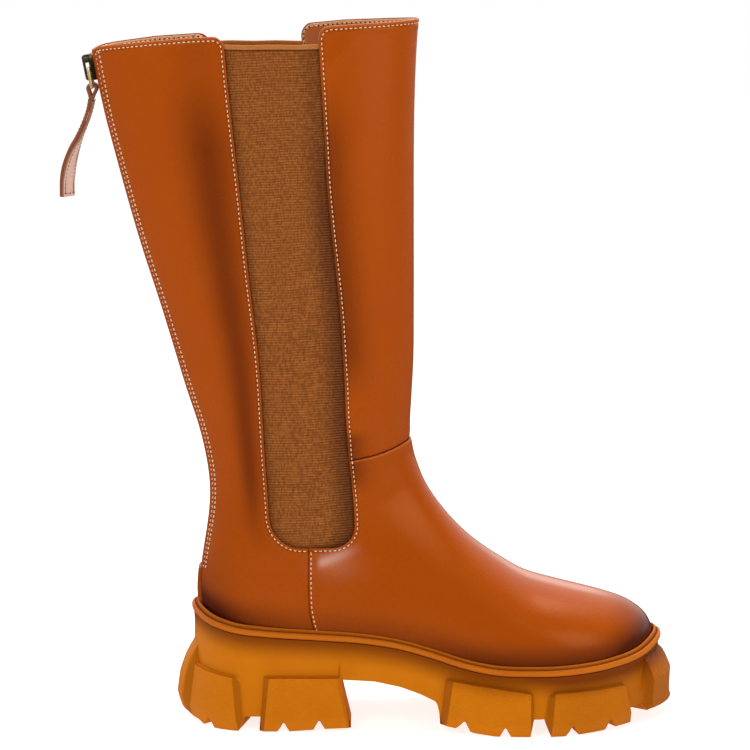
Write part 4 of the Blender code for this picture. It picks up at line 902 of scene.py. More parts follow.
# Along the vamp's top edge: needle-hole discs and short dark threads, as painted shade in the seam.
tuck = lambda spots: (read(FIELDS["ahead"], spots) > 1.5) & (read(FIELDS["opening"], spots) > 1.0)
spots, segments = line_on_last(field("above"), 0.25, tuck)
tuck_sizes = dict(stitch_sizes, Pitch=2.0 * MM, Hole=0.9 * MM, Thread=0.35 * MM, **{"Stitch length": 0.9 * MM})
tuck_sizes["Thread material"] = needle_hole_shade
tuck_seam = grow("front_seam_stitching", seam_mesh([(spots, segments, shaft_height(spots) + 0.12, 1)]), stitch_nodes,
                 tuck_sizes)
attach(tuck_seam, "boot")
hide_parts("upper")

# ---------------------------------------------------------------- gores
# Side panels of ribbed elastic: cotton-covered rubber woven in crosswise ribs, its hem glued
# between leather and lining, its top edge bound in a folded tape.
GORE_HEM, GORE_AT, GORE_THICK, GORE_TOPS = 7.0, 1.45, 1.0, {LATERAL: 386.2, MEDIAL: 384.6}
RIB_PITCH, RIB_ROWS, RIB_HIGH, RIB_LEAN, GORE_COLUMNS = 1.48, 4, 0.42, 0.035, 34
BINDING_HIGH, BINDING_THICK = 2.6, 1.5


def sunk_tree(depth):
    """Ray-casting tree of the last's face moved inwards by a depth."""
    grid = LAST - depth * NORMALS
    corner = (np.arange(ROWS - 1)[:, None] * COLUMNS + np.arange(COLUMNS - 1)).ravel()
    faces = np.column_stack([corner, corner + 1, corner + COLUMNS + 1, corner + COLUMNS])
    apart = np.abs(LAST[:-1, 0, 1] - LAST[:-1, -1, 1])
    shut = np.flatnonzero((apart < 1.0) | ((apart < 14.0) & (LAST[:-1, 0, 0] < HEEL_BACK + 6))) * COLUMNS
    seam = np.column_stack([shut, shut + COLUMNS - 1, shut + 2 * COLUMNS - 1, shut + COLUMNS])
    return BVHTree.FromPolygons(grid.reshape(-1, 3).tolist(), np.vstack([faces, seam]).tolist())


def beside(tree, x, z, side):
    """Point of the last's face seen square on from one side of the boot."""
    return tree.ray_cast(Vector((x, side * 200, z)), Vector((0, -side, 0)))[0]


def gore_edges(z, side, hem):
    """Rear and front edge of a gore at height z, hem included."""
    drift = MEDIAL_DRIFT * (z - GORE[0][0]) / (MEDIAL_TOP - GORE[0][0]) if side == MEDIAL else 0.0
    rear, front = along(GORE, z) - max(0.0, drift)
    corners = []
    for radius in (REAR_RADIUS + hem, FRONT_RADIUS + hem):
        depth = min(radius, max(0.0, GORE_FOOT - hem + radius - z))
        corners.append(radius - math.sqrt(radius**2 - depth**2))
    return rear - hem + corners[0], front + hem - corners[1]


def closed_sheet(name, front, back, material):
    """Closed piece between two grids of points with the same rows and columns."""
    rows, columns = front.shape[:2]
    count = rows * columns
    corner = (np.arange(rows - 1)[:, None] * columns + np.arange(columns - 1)).ravel()
    faces = np.column_stack([corner, corner + 1, corner + columns + 1, corner + columns])
    rim = list(range(columns)) + [r * columns + columns - 1 for r in range(1, rows)]
    rim += [(rows - 1) * columns + c for c in range(columns - 2, -1, -1)] + [r * columns for r in range(rows - 2, 0, -1)]
    walls = [(b, a, count + a, count + b) for a, b in zip(rim, rim[1:] + rim[:1])]
    points = np.vstack([front.reshape(-1, 3), back.reshape(-1, 3)])
    return solid(name, points, faces.tolist() + (faces[:, ::-1] + count).tolist() + walls, material)


def solid(name, points, faces, material, sharp=None):
    """A closed piece from points in millimetres, merged, facing outwards, softly shaded."""
    mesh = bpy.data.meshes.new(name)
    mesh.from_pydata((np.asarray(points, dtype=float) * MM).tolist(), [], faces)
    work = bmesh.new()
    work.from_mesh(mesh)
    bmesh.ops.remove_doubles(work, verts=work.verts, dist=0.004 * MM)
    bmesh.ops.recalc_face_normals(work, faces=work.faces)
    work.to_mesh(mesh)
    work.free()
    mesh.shade_smooth()
    if sharp:
        mesh.set_sharp_from_angle(angle=math.radians(sharp))
    mesh.materials.append(material)
    piece = bpy.data.objects.new(name, mesh)
    scene.collection.objects.link(piece)
    return piece


def gore_panel(name, side, material):
    low, high = GORE_FOOT - GORE_HEM, GORE_TOPS[side]
    count = int((high - low) / RIB_PITCH * RIB_ROWS)
    coarse = np.linspace(low, high, 90)
    tree = sunk_tree(GORE_AT)
    base = np.array([[beside(tree, x, z, side) for x in np.linspace(*gore_edges(z, side, GORE_HEM), GORE_COLUMNS)]
                     for z in coarse])
    fine = np.linspace(low, high, count)
    face = np.array([[np.interp(fine, coarse, base[:, c, axis]) for axis in range(3)] for c in range(GORE_COLUMNS)])
    face = face.transpose(2, 0, 1)
    normals = np.cross(np.gradient(face, axis=1), np.gradient(face, axis=0))
    normals /= np.linalg.norm(normals, axis=2, keepdims=True)
    normals *= np.sign((normals[..., 1] * side).sum())
    x, z = face[..., 0], face[..., 2]
    sway = 0.14 * np.sin(x / 6.3 + z / 37) + 0.08 * np.sin(x / 2.3 - z / 23)
    ribs = np.abs(np.sin(math.pi * (z - RIB_LEAN * x + sway) / RIB_PITCH)) ** 0.7
    yarns = 0.05 * np.sin(2 * math.pi * (x - along(GORE, z)[..., 0]) / 2.1)
    lifted = face + ((RIB_HIGH * (ribs - 1) + yarns)[..., None]) * normals
    piece = closed_sheet(name, lifted, face - GORE_THICK * normals, material)
    edges = np.array([gore_edges(at, side, 0.0) for at in z.mean(1)])
    # Painted shade: in the ribs' furrows, near the front edge, beside the leather's rear edge, and under the binding.
    shade = (0.3 + 0.3 * (1 - bump(z, 290, 360))) * (1 - bump(edges[:, 1:] - x, 0, 17))
    elastic_shade = 0.5 * (1 - ribs ** 3.5) + shade + 0.3 * (1 - bump(x - edges[:, :1], 0, 6))
    elastic_shade = np.maximum(elastic_shade, hill(z, high - 2.2, 0.6))
    values = np.concatenate([elastic_shade.ravel(), np.full(face.shape[0] * face.shape[1], 0.3)]).clip(0, 1)
    layer = piece.data.attributes.new("elastic_shade", "FLOAT", "POINT")
    layer.data.foreach_set("value", np.resize(values, len(piece.data.vertices)).astype(np.float32))
    return piece


def gore_binding(name, side, material):
    """Folded tape over the gore's top edge, a flattened loop in section."""
    tree = sunk_tree(GORE_AT + GORE_THICK / 2)
    top = GORE_TOPS[side] + 0.9
    rear, front = gore_edges(top, side, 4.0)
    loops = []
    for x in np.linspace(rear, front, 40):
        at = np.array(beside(tree, x, top - BINDING_HIGH / 2, side))
        out = np.array((0.0, side, 0.0))
        turns = np.linspace(0, 2 * math.pi, 15)[:-1]
        sag = 0.12 * math.sin(x / 4.1)
        loops.append([at + out * (BINDING_THICK / 2 * math.copysign(abs(math.cos(t)) ** 0.6, math.cos(t)))
                      + np.array((0, 0, sag + BINDING_HIGH / 2 * math.copysign(abs(math.sin(t)) ** 0.75, math.sin(t))))
                      for t in turns])
    return lofted(name, loops, material)


def lofted(name, loops, material, closed=False, sharp=None):
    """Closed piece through loops of equal length; closed joins the last loop to the first."""
    count, size = len(loops), len(loops[0])
    points = np.array(loops, dtype=float).reshape(-1, 3)
    turns = count if closed else count - 1
    faces = [(a * size + b, a * size + (b + 1) % size, (a + 1) % count * size + (b + 1) % size, (a + 1) % count * size + b)
             for a in range(turns) for b in range(size)]
    if not closed:
        faces += [tuple(range(size)), tuple((count - 1) * size + b for b in range(size))]
    return solid(name, points, faces, material, sharp)


elastic, elastic_tree, elastic_shader = new_material("woven_rib_elastic")
# Cotton-wrapped elastic: dull olive brown, crossed by 1 mm warp yarns, with painted shade in the furrows,
# along its edges and under the binding.
place = add_node(elastic_tree, "ShaderNodeTexCoord").outputs["Object"]
split = add_node(elastic_tree, "ShaderNodeSeparateXYZ", {0: place})
slub = add_node(elastic_tree, "ShaderNodeMapping", {"Vector": place, "Scale": (60.0, 60.0, 900.0)})
slub = add_node(elastic_tree, "ShaderNodeTexNoise", {"Vector": slub.outputs[0], "Scale": 2.0, "Detail": 4.0})
yarn = add_node(elastic_tree, "ShaderNodeMapping", {"Vector": place, "Scale": (1000.0, 300.0, 420.0)})
yarn = add_node(elastic_tree, "ShaderNodeTexNoise", {"Vector": yarn.outputs[0], "Scale": 1.0, "Detail": 2.0})
tone = add_node(elastic_tree, "ShaderNodeMix", {"Factor": slub.outputs["Fac"], 6: linear("#8A4712"), 7: linear("#BE7430")},
                data_type="RGBA")
dots = add_node(elastic_tree, "ShaderNodeMapRange", {"Value": yarn.outputs["Fac"], "From Min": 0.42, "From Max": 0.6,
                "To Max": 0.75})
tone = add_node(elastic_tree, "ShaderNodeMix", {"Factor": dots.outputs[0], 6: tone.outputs[2], 7: linear("#7E4212")},
                data_type="RGBA")
# Painted shade of the furrows, edges and binding, towards a dark brown.
elastic_shade = add_node(elastic_tree, "ShaderNodeAttribute", attribute_name="elastic_shade")
colour = add_node(elastic_tree, "ShaderNodeMix", {"Factor": elastic_shade.outputs["Fac"], 6: tone.outputs[2], 7: linear("#4E2408")},
                  data_type="RGBA")
elastic_tree.links.new(colour.outputs[2], elastic_shader.inputs["Base Color"])
elastic_shader.inputs["Roughness"].default_value = 0.85
elastic_shader.inputs["Specular IOR Level"].default_value = 0.2
weave = add_node(elastic_tree, "ShaderNodeMath", {0: slub.outputs["Fac"], 1: yarn.outputs["Fac"]}, operation="ADD")
relief = add_node(elastic_tree, "ShaderNodeBump", {"Strength": 0.45, "Distance": 0.0004, "Height": weave.outputs[0]})
elastic_tree.links.new(relief.outputs["Normal"], elastic_shader.inputs["Normal"])
binding_tape, binding_tree, binding_shader = new_material("cotton_binding_tape")
# Folded cotton tape, ochre, with a fine diagonal twill.
place = add_node(binding_tree, "ShaderNodeTexCoord").outputs["Object"]
twill = add_node(binding_tree, "ShaderNodeTexNoise", {"Vector": place, "Scale": 700.0, "Detail": 2.0})
colour = add_node(binding_tree, "ShaderNodeMix", {"Factor": twill.outputs["Fac"], 6: linear("#C0742A"), 7: linear("#9C5A1A")},
                  data_type="RGBA")
binding_tree.links.new(colour.outputs[2], binding_shader.inputs["Base Color"])
binding_shader.inputs["Roughness"].default_value = 0.8
for side, node in ((LATERAL, "gore_outer"), (MEDIAL, "gore_inner")):
    for piece in (gore_panel(node + "_elastic", side, elastic), gore_binding(node + "_binding", side, binding_tape)):
        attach(piece, "boot")
        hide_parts(node)

# ---------------------------------------------------------------- zip
# Nylon coil zip up the back seam: two interlocking coils of monofilament, sewn to a woven tape
# that lies between leather and lining.
ZIP_FOOT, ZIP_TOP = 88.0, 379.0
TAPE_HALF, TAPE_THICK, TAPE_TAIL, TAPE_AT = 13.0, 0.6, 8.0, 1.35
COIL_PITCH, COIL_HALF, COIL_WIRE = 1.5, 2.75, 0.62


def back_point(tree, y, z):
    """Point of the last's back at height z; rays pass beside the joint of its two halves."""
    point = np.array(tree.ray_cast(Vector((-200, math.copysign(max(abs(y), 0.4), y), z)), Vector((1, 0, 0)))[0])
    point[1] = y
    return point


def back_strip(tree, heights, across):
    return np.array([[back_point(tree, y, z) for y in across] for z in heights])


woven_tape, tape_tree, tape_shader = new_material("woven_polyester_tape")
# Herringbone polyester tape in tan, dull; its ribs are drawn 1 mm coarse.
place = add_node(tape_tree, "ShaderNodeTexCoord").outputs["Object"]
wave = add_node(tape_tree, "ShaderNodeTexWave", {"Vector": place, "Scale": 160.0, "Distortion": 2.0}, bands_direction="Z")
colour = add_node(tape_tree, "ShaderNodeMix", {"Factor": wave.outputs["Fac"], 6: linear("#A86A34"), 7: linear("#7C4418")},
                  data_type="RGBA")
tape_tree.links.new(colour.outputs[2], tape_shader.inputs["Base Color"])
tape_shader.inputs["Roughness"].default_value = 0.9
relief = add_node(tape_tree, "ShaderNodeBump", {"Strength": 0.3, "Distance": 0.0003, "Height": wave.outputs["Fac"]})
tape_tree.links.new(relief.outputs["Normal"], tape_shader.inputs["Normal"])
monofilament, coil_tree, coil_shader = new_material("nylon_monofilament")
# Dyed nylon wire: tan, half gloss, slightly uneven from the dye.
place = add_node(coil_tree, "ShaderNodeTexCoord").outputs["Object"]
dye = add_node(coil_tree, "ShaderNodeTexNoise", {"Vector": place, "Scale": 500.0})
colour = add_node(coil_tree, "ShaderNodeMix", {"Factor": dye.outputs["Fac"], 6: linear("#C68450"), 7: linear("#A05E30")},
                  data_type="RGBA")
coil_tree.links.new(colour.outputs[2], coil_shader.inputs["Base Color"])
coil_shader.inputs["Roughness"].default_value = 0.38
coil_shader.inputs["IOR"].default_value = 1.53

outer_tree, tape_face = sunk_tree(0.0), sunk_tree(TAPE_AT)
heights = np.linspace(ZIP_FOOT - TAPE_TAIL, ZIP_TOP + 2, 120)
across = np.linspace(-TAPE_HALF, TAPE_HALF, 13)
tape_out = back_strip(tape_face, heights, across)
tape_in = back_strip(sunk_tree(TAPE_AT + TAPE_THICK), heights, across)
zip_tape = closed_sheet("zip_tape_woven", tape_out, tape_in, woven_tape)
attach(zip_tape, "boot")
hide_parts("zip_tape")


def coil_tree_nodes():
    """Geometry nodes: one half of a zip's coil, bars bent over the middle at a pitch."""
    tree = bpy.data.node_groups.new("zip_coil_rows", "GeometryNodeTree")
    face = tree.interface
    face.new_socket("Path", in_out="INPUT", socket_type="NodeSocketGeometry")
    for label in ("Pitch", "Wire", "Half width", "Offset", "Side"):
        face.new_socket(label, in_out="INPUT", socket_type="NodeSocketFloat")
    face.new_socket("Material", in_out="INPUT", socket_type="NodeSocketMaterial")
    face.new_socket("Coil", in_out="OUTPUT", socket_type="NodeSocketGeometry")
    given = add_node(tree, "NodeGroupInput").outputs
    path = add_node(tree, "GeometryNodeMeshToCurve", {"Mesh": given["Path"]})
    spots = add_node(tree, "GeometryNodeResampleCurve", {"Curve": path.outputs[0], "Length": given["Pitch"]}, mode="LENGTH")
    ahead = add_node(tree, "GeometryNodeInputTangent")
    out = add_node(tree, "GeometryNodeInputNamedAttribute", {"Name": "outwards"}, data_type="FLOAT_VECTOR")
    turn = add_node(tree, "FunctionNodeAxesToRotation", {0: ahead.outputs[0], 1: out.outputs[0]},
                    primary_axis="X", secondary_axis="Z")
    far = add_node(tree, "ShaderNodeMath", {0: given["Half width"], 1: given["Side"]}, operation="MULTIPLY")
    near = add_node(tree, "ShaderNodeMath", {0: far.outputs[0], 1: -0.22}, operation="MULTIPLY")
    high = add_node(tree, "ShaderNodeMath", {0: given["Wire"], 1: 0.9}, operation="MULTIPLY")
    deep = add_node(tree, "ShaderNodeMath", {0: given["Wire"], 1: -1.6}, operation="MULTIPLY")
    start = add_node(tree, "ShaderNodeCombineXYZ", {"X": given["Offset"], "Y": far.outputs[0], "Z": deep.outputs[0]})
    peak = add_node(tree, "ShaderNodeCombineXYZ", {"X": given["Offset"], "Y": far.outputs[0], "Z": high.outputs[0]})
    end = add_node(tree, "ShaderNodeCombineXYZ", {"X": given["Offset"], "Y": near.outputs[0]})
    arch = add_node(tree, "GeometryNodeCurveQuadraticBezier",
                    {"Resolution": 6, "Start": start.outputs[0], "Middle": peak.outputs[0], "End": end.outputs[0]})
    girth = add_node(tree, "ShaderNodeMath", {0: given["Wire"], 1: 0.5}, operation="MULTIPLY")
    ring = add_node(tree, "GeometryNodeCurvePrimitiveCircle", {"Resolution": 6, "Radius": girth.outputs[0]})
    bar = add_node(tree, "GeometryNodeCurveToMesh", {"Curve": arch.outputs[0], "Profile Curve": ring.outputs[0],
                   "Fill Caps": True})
    bars = add_node(tree, "GeometryNodeInstanceOnPoints", {"Points": spots.outputs[0], "Instance": bar.outputs[0],
                    "Rotation": turn.outputs[0]})
    bars = add_node(tree, "GeometryNodeRealizeInstances", {0: bars.outputs[0]})
    bars = add_node(tree, "GeometryNodeSetMaterial", {0: bars.outputs[0], "Material": given["Material"]})
    add_node(tree, "NodeGroupOutput", {0: bars.outputs[0]})
    return tree


heights = np.linspace(ZIP_FOOT + 0.4, ZIP_TOP - 0.6, 200)
seam_line = np.array([back_point(outer_tree, 0.0, z) for z in heights])
seam_line[:, 1] = 0.0
up = np.gradient(seam_line, axis=0)
up /= np.linalg.norm(up, axis=1, keepdims=True)
seam_out = np.column_stack([-up[:, 2], np.zeros(len(up)), up[:, 0]])
coil_path = edge_mesh(seam_line - 0.25 * seam_out, seam_out, np.column_stack([np.arange(199), np.arange(1, 200)]))
coil_nodes = coil_tree_nodes()
for name, side, offset in (("zip_coil_left", -1.0, 0.0), ("zip_coil_right", 1.0, COIL_PITCH / 2)):
    values = {"Pitch": COIL_PITCH * MM, "Wire": COIL_WIRE * MM, "Half width": COIL_HALF * MM, "Offset": offset * MM,
              "Side": side, "Material": monofilament}
    coil = grow(name, coil_path.copy(), coil_nodes, values)
    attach(coil, "boot")
    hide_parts("zip_coil")
bed = [[point + dy * np.array((0, 1, 0)) + rise * out for dy, rise in
        ((-2.7, -1.35), (-2.7, -0.62), (0, -0.5), (2.7, -0.62), (2.7, -1.35))]
       for point, out in zip(seam_line[::4], seam_out[::4])]
coil_bed = lofted("zip_coil_bed", bed, woven_tape, sharp=40)
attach(coil_bed, "boot")
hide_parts("zip_coil")

# ---------------------------------------------------------------- heel tab
# Back stay of the same leather, a narrow strip over the foot of the back seam, a little wider
# at its foot, with skived edges pressed down at their borders.
TAB_FOOT, TAB_TOP, TAB_AT, TAB_RISE = 66.0, 87.8, 0.25, 1.25
HALF_FOOT, HALF_TOP = 9.6, 7.3          # half-widths


tab_heights = np.linspace(TAB_FOOT, TAB_TOP, 44)
tab_half = np.interp(tab_heights, (TAB_FOOT, TAB_TOP), (HALF_FOOT, HALF_TOP))[:, None]
tab_across = tab_half * np.linspace(-1, 1, 40)


def tab_sheet(tree):
    return np.array([[back_point(tree, y, z) for y in line] for line, z in zip(tab_across, tab_heights)])


tab_base = tab_sheet(sunk_tree(-TAB_AT))
tab_out = tab_sheet(sunk_tree(-TAB_AT - 1.0)) - tab_base
tab_out /= np.linalg.norm(tab_out, axis=2, keepdims=True)
from_ends = np.minimum(tab_heights - TAB_FOOT, TAB_TOP - tab_heights)[:, None] + 0 * tab_across
inside_tab = rounded(tab_half - np.abs(tab_across), from_ends, 2.0)
skive = np.clip(inside_tab / 1.1, 0, 1)
tab_rise = TAB_RISE * np.sqrt(1 - (1 - skive) ** 2) - 0.25 * hill(inside_tab, 1.9, 0.4) * (inside_tab > 0.3)
tab_front = tab_base + tab_rise[..., None] * tab_out
heel_tab = closed_sheet("heel_tab_leather", tab_front, tab_base - 0.3 * tab_out, leather)
for label, value in (("burnish_and_shade", 0.28), ("fold_highlight", 0.0), ("pull", 0.0)):
    layer = heel_tab.data.attributes.new(label, "FLOAT", "POINT")
    layer.data.foreach_set("value", np.full(len(heel_tab.data.vertices), value, dtype=np.float32))
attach(heel_tab, "boot")
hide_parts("heel_tab")

# ---------------------------------------------------------------- slider
# Die-cast zip slider in antique brass: a plate with turned-down flanges over the coil, a
# tapered nose, and an arched crown that holds the pull's link.
SLIDER_AT, PLATE_LONG, PLATE_WIDE, PLATE_LOW, PLATE_HIGH = 373.4, 15.0, 8.4, 0.6, 2.2
CROWN_LONG, CROWN_WIDE, CROWN_HIGH, CROWN_BAR, CROWN_BEND = 14.4, 3.4, 6.4, 1.3, 1.6

antique_brass, brass_tree, brass_shader = new_material("antique_plated_brass")
# Zinc casting plated in brass, blackened and rubbed: olive dark in the hollows, pale gold on its sharp edges, partly
# rubbed wear and partly a painted highlight for glints.
place = add_node(brass_tree, "ShaderNodeTexCoord").outputs["Object"]
patina = add_node(brass_tree, "ShaderNodeTexNoise", {"Vector": place, "Scale": 420.0, "Detail": 5.0, "Roughness": 0.7})
rubbed_and_glint = add_node(brass_tree, "ShaderNodeNewGeometry")
# Sharp edges pale gold: partly rubbed wear, partly a painted highlight standing for glints.
edges = add_node(brass_tree, "ShaderNodeMapRange", {"Value": rubbed_and_glint.outputs["Pointiness"], "From Min": 0.49, "From Max": 0.58})
level = add_node(brass_tree, "ShaderNodeMath", {0: edges.outputs[0], 1: patina.outputs["Fac"]}, operation="MULTIPLY")
colour = add_node(brass_tree, "ShaderNodeMix", {"Factor": level.outputs[0], 6: linear("#17130D"), 7: linear("#CDB68C")},
                  data_type="RGBA")
brass_tree.links.new(colour.outputs[2], brass_shader.inputs["Base Color"])
brass_shader.inputs["Metallic"].default_value = 1.0
rough = add_node(brass_tree, "ShaderNodeMapRange", {"Value": patina.outputs["Fac"], "To Min": 0.30, "To Max": 0.50})
brass_tree.links.new(rough.outputs["Result"], brass_shader.inputs["Roughness"])


def seam_frame(z):
    """Point on the back seam with the ways outwards and up."""
    point = back_point(outer_tree, 0.0, z)
    point[1] = 0.0
    climb = back_point(outer_tree, 0.0, z + 2) - back_point(outer_tree, 0.0, z - 2)
    climb[1] = 0.0
    climb /= np.linalg.norm(climb)
    return point, np.array((-climb[2], 0, climb[0])), climb


def in_frame(frame_at, points):
    """Points given as y, rise off the seam and distance up along it."""
    origin, out, climb = frame_at
    return [origin + rise * out + up_by * climb + np.array((0, y, 0)) for y, rise, up_by in points]


def softened(piece, width, segments=2):
    """Bevelled edges, applied, then smooth shading that keeps sharp edges."""
    step = piece.modifiers.new("edges", "BEVEL")
    step.width, step.segments, step.limit_method, step.angle_limit = width * MM, segments, "ANGLE", math.radians(28)
    bpy.context.view_layer.update()
    shape = piece.evaluated_get(bpy.context.evaluated_depsgraph_get())
    mesh = bpy.data.meshes.new_from_object(shape)
    piece.modifiers.clear()
    piece.data = mesh
    mesh.shade_smooth()
    mesh.set_sharp_from_angle(angle=math.radians(50))
    return piece


def joined(name, pieces):
    """One piece from several closed ones."""
    work = bmesh.new()
    for piece in pieces:
        work.from_mesh(piece.data)
    mesh = bpy.data.meshes.new(name)
    work.to_mesh(mesh)
    work.free()
    for material in pieces[0].data.materials:
        mesh.materials.append(material)
    for piece in pieces:
        bpy.data.objects.remove(piece)
    whole = bpy.data.objects.new(name, mesh)
    scene.collection.objects.link(whole)
    return whole


slider_frame = seam_frame(SLIDER_AT)
half_long, half_wide = PLATE_LONG / 2, PLATE_WIDE / 2
plan = ((-0.55, -1), (0.55, -1), (0.86, -0.82), (0.86, -0.2), (1, 0.25), (1, 0.72), (0.62, 1), (0.12, 0.9),
        (-0.12, 0.9), (-0.62, 1), (-1, 0.72), (-1, 0.25), (-0.86, -0.2), (-0.86, -0.82))
loops = [in_frame(slider_frame, [(y * half_wide * inset, rise, along_it * half_long * inset) for y, along_it in plan])
         for rise, inset in ((-0.5, 0.97), (PLATE_LOW, 1.0), (PLATE_HIGH - 0.5, 1.0), (PLATE_HIGH, 0.9))]
plate = softened(lofted("slider_plate", loops, antique_brass), 0.22)
arch_half, root = CROWN_LONG / 2, PLATE_HIGH - 0.7
arch = []
for turn in np.linspace(0, math.pi / 2, 6):
    arch.append((arch_half - CROWN_BEND * (1 - math.cos(turn)), CROWN_HIGH - CROWN_BEND * (1 - math.sin(turn))))
path = [(-arch_half, root)] + [(-a, b) for a, b in arch] + [(a, b) for a, b in arch[::-1]] + [(arch_half, root)]
loops = []
for k, (climb, rise) in enumerate(path):
    before, after = path[max(k - 1, 0)], path[min(k + 1, len(path) - 1)]
    run = np.array((after[0] - before[0], after[1] - before[1]))
    run /= np.linalg.norm(run)
    inward = np.array((run[1], -run[0])) * CROWN_BAR
    wide = CROWN_WIDE / 2
    loops.append(in_frame(slider_frame, [(-wide, rise, climb), (wide, rise, climb),
                                         (wide * 0.8, rise + inward[1], climb + inward[0]),
                                         (-wide * 0.8, rise + inward[1], climb + inward[0])]))
crown = softened(lofted("slider_crown", loops, antique_brass), 0.3)
loops = [in_frame(slider_frame, [(y * wide_by, rise, climb) for y, climb in ((-1, -3.6), (1, -3.6), (1, 3.4), (-1, 3.4))])
         for rise, wide_by in ((PLATE_HIGH - 0.4, 1.5), (PLATE_HIGH + 0.9, 1.1))]
hump = softened(lofted("slider_hump", loops, antique_brass), 0.35)
legs = []
for low, high in ((-6.7, -3.4), (2.6, 6.7)):
    loops = [in_frame(slider_frame, [(y, rise, climb) for y, climb in ((-1.35, low), (1.35, low), (1.35, high), (-1.35, high))])
             for rise in (PLATE_HIGH - 0.4, CROWN_HIGH - 0.7)]
    legs.append(softened(lofted("slider_leg", loops, antique_brass), 0.5))
slider = joined("slider_cast", [plate, crown, hump, *legs])
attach(slider, "boot")
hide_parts("zip_slider")

# ---------------------------------------------------------------- pull link
# Bent brass wire, gilt, its ends butted inside the slider's crown. It carries the strap.
LINK_AXIS, LINK_FOOT, LINK_HALF, LINK_WIRE, LINK_CORNER = (-96.8, 372.3), (-95.2, 361.8), 5.8, 1.75, 1.6

gilt_wire, gilt_tree, gilt_shader = new_material("gilt_brass_wire")
# Drawn gilt wire, pale gold, set only half metallic so that its pale base stands in as a painted reflection and keeps
# it bright even in shade; faintly streaked along it.
place = add_node(gilt_tree, "ShaderNodeTexCoord").outputs["Object"]
drawn = add_node(gilt_tree, "ShaderNodeMapping", {"Vector": place, "Scale": (1500.0, 1500.0, 90.0)})
drawn = add_node(gilt_tree, "ShaderNodeTexNoise", {"Vector": drawn.outputs[0], "Scale": 1.0})
colour = add_node(gilt_tree, "ShaderNodeMix", {"Factor": drawn.outputs["Fac"], 6: linear("#F2E0B0"), 7: linear("#D9C080")},
                  data_type="RGBA")
gilt_tree.links.new(colour.outputs[2], gilt_shader.inputs["Base Color"])
gilt_shader.inputs["Metallic"].default_value = 0.55
gilt_shader.inputs["Roughness"].default_value = 0.34
head, foot = Vector((LINK_AXIS[0], 0, LINK_AXIS[1])), Vector((LINK_FOOT[0], 0, LINK_FOOT[1]))
drop, down = (foot - head).length, (foot - head).normalized()
path = []
for k, (sx, sz) in enumerate(((-1, 0), (1, 0), (1, 1), (-1, 1))):
    middle = (sx * (LINK_HALF - LINK_CORNER), LINK_CORNER + sz * (drop - 2 * LINK_CORNER))
    for step in range(7):
        turn = math.radians(-180 + 90 * k + 15 * step)
        path.append(head + down * (middle[1] + LINK_CORNER * math.sin(turn))
                    + Vector((0, middle[0] + LINK_CORNER * math.cos(turn), 0)))


def wire(name, path, radius, sides, material, across):
    """Closed ring of round wire through a path of points."""
    loops = []
    for k, point in enumerate(path):
        run = (path[(k + 1) % len(path)] - path[k - 1]).normalized()
        off = run.cross(across).normalized()
        other = run.cross(off)
        turns = [2 * math.pi * c / sides for c in range(sides)]
        loops.append([tuple(point + radius * (math.cos(t) * off + math.sin(t) * other)) for t in turns])
    return lofted(name, loops, material, closed=True)


link = wire("pull_link", path, LINK_WIRE / 2, 14, gilt_wire, Vector((down.z, 0, -down.x)))
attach(link, "pull")
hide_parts("zip_pull")

# ---------------------------------------------------------------- pull strap
# A leather strap folded round the link's foot and sewn to itself, flesh side out on one face.
# Two plies show at its edges; it hangs with a half twist and a square sewn end.
STRAP_WIDE, PLY, STRAP_LOOP, STRAP_NECK = 9.4, 1.6, 2.35, 353.6
STRAP_TAIL = (  # z, centre x, degrees turned about its own length
    (300.4, -110.6, 36), (310, -110.3, 35), (318, -109.0, 30), (327, -106.2, 17), (333, -103.6, 4),
    (340, -100.5, -2), (347, -97.7, -4), (358, -95.0, 0),
)
TAIL_FOOT, TAIL_LOOPS = 300.6, 90

strap_leather, strap_tree, strap_shader = new_material("strap_leather_and_flesh")
# Grain side like the boot's, flesh side napped and pinkish, the cut edge brown and matt.
place = add_node(strap_tree, "ShaderNodeTexCoord").outputs["Object"]
nap = add_node(strap_tree, "ShaderNodeTexNoise", {"Vector": place, "Scale": 650.0, "Detail": 4.0})
flesh = add_node(strap_tree, "ShaderNodeAttribute", attribute_name="flesh")
cut_edge = add_node(strap_tree, "ShaderNodeAttribute", attribute_name="cut")
grain_tone = add_node(strap_tree, "ShaderNodeMix", {"Factor": nap.outputs["Fac"], 6: linear("#BA6638"), 7: linear("#9E4C22")},
                      data_type="RGBA")
flesh_tone = add_node(strap_tree, "ShaderNodeMix", {"Factor": nap.outputs["Fac"], 6: linear("#EFD0C0"), 7: linear("#D2A892")},
                      data_type="RGBA")
face_tone = add_node(strap_tree, "ShaderNodeMix", {"Factor": flesh.outputs["Fac"], 6: grain_tone.outputs[2],
                     7: flesh_tone.outputs[2]}, data_type="RGBA")
colour = add_node(strap_tree, "ShaderNodeMix", {"Factor": cut_edge.outputs["Fac"], 6: face_tone.outputs[2],
                  7: linear("#7A3A14")}, data_type="RGBA")
strap_tree.links.new(colour.outputs[2], strap_shader.inputs["Base Color"])
strap_shader.inputs["Roughness"].default_value = 0.55
relief = add_node(strap_tree, "ShaderNodeBump", {"Strength": 0.3, "Distance": 0.0003, "Height": nap.outputs["Fac"]})
strap_tree.links.new(relief.outputs["Normal"], strap_shader.inputs["Normal"])


def ply_section(middle, across, face, wide, thick, corner=0.3):
    """Section of a strap with softly rounded edges: its points."""
    points = []
    for sx, sy, start in ((1, 1, 0), (-1, 1, 90), (-1, -1, 180), (1, -1, 270)):
        for step in range(4):
            turn = math.radians(start + 30 * step)
            points.append(middle + across * (sx * (wide / 2 - corner) + corner * math.cos(turn))
                          + face * (sy * (thick / 2 - corner) + corner * math.sin(turn)))
    return points


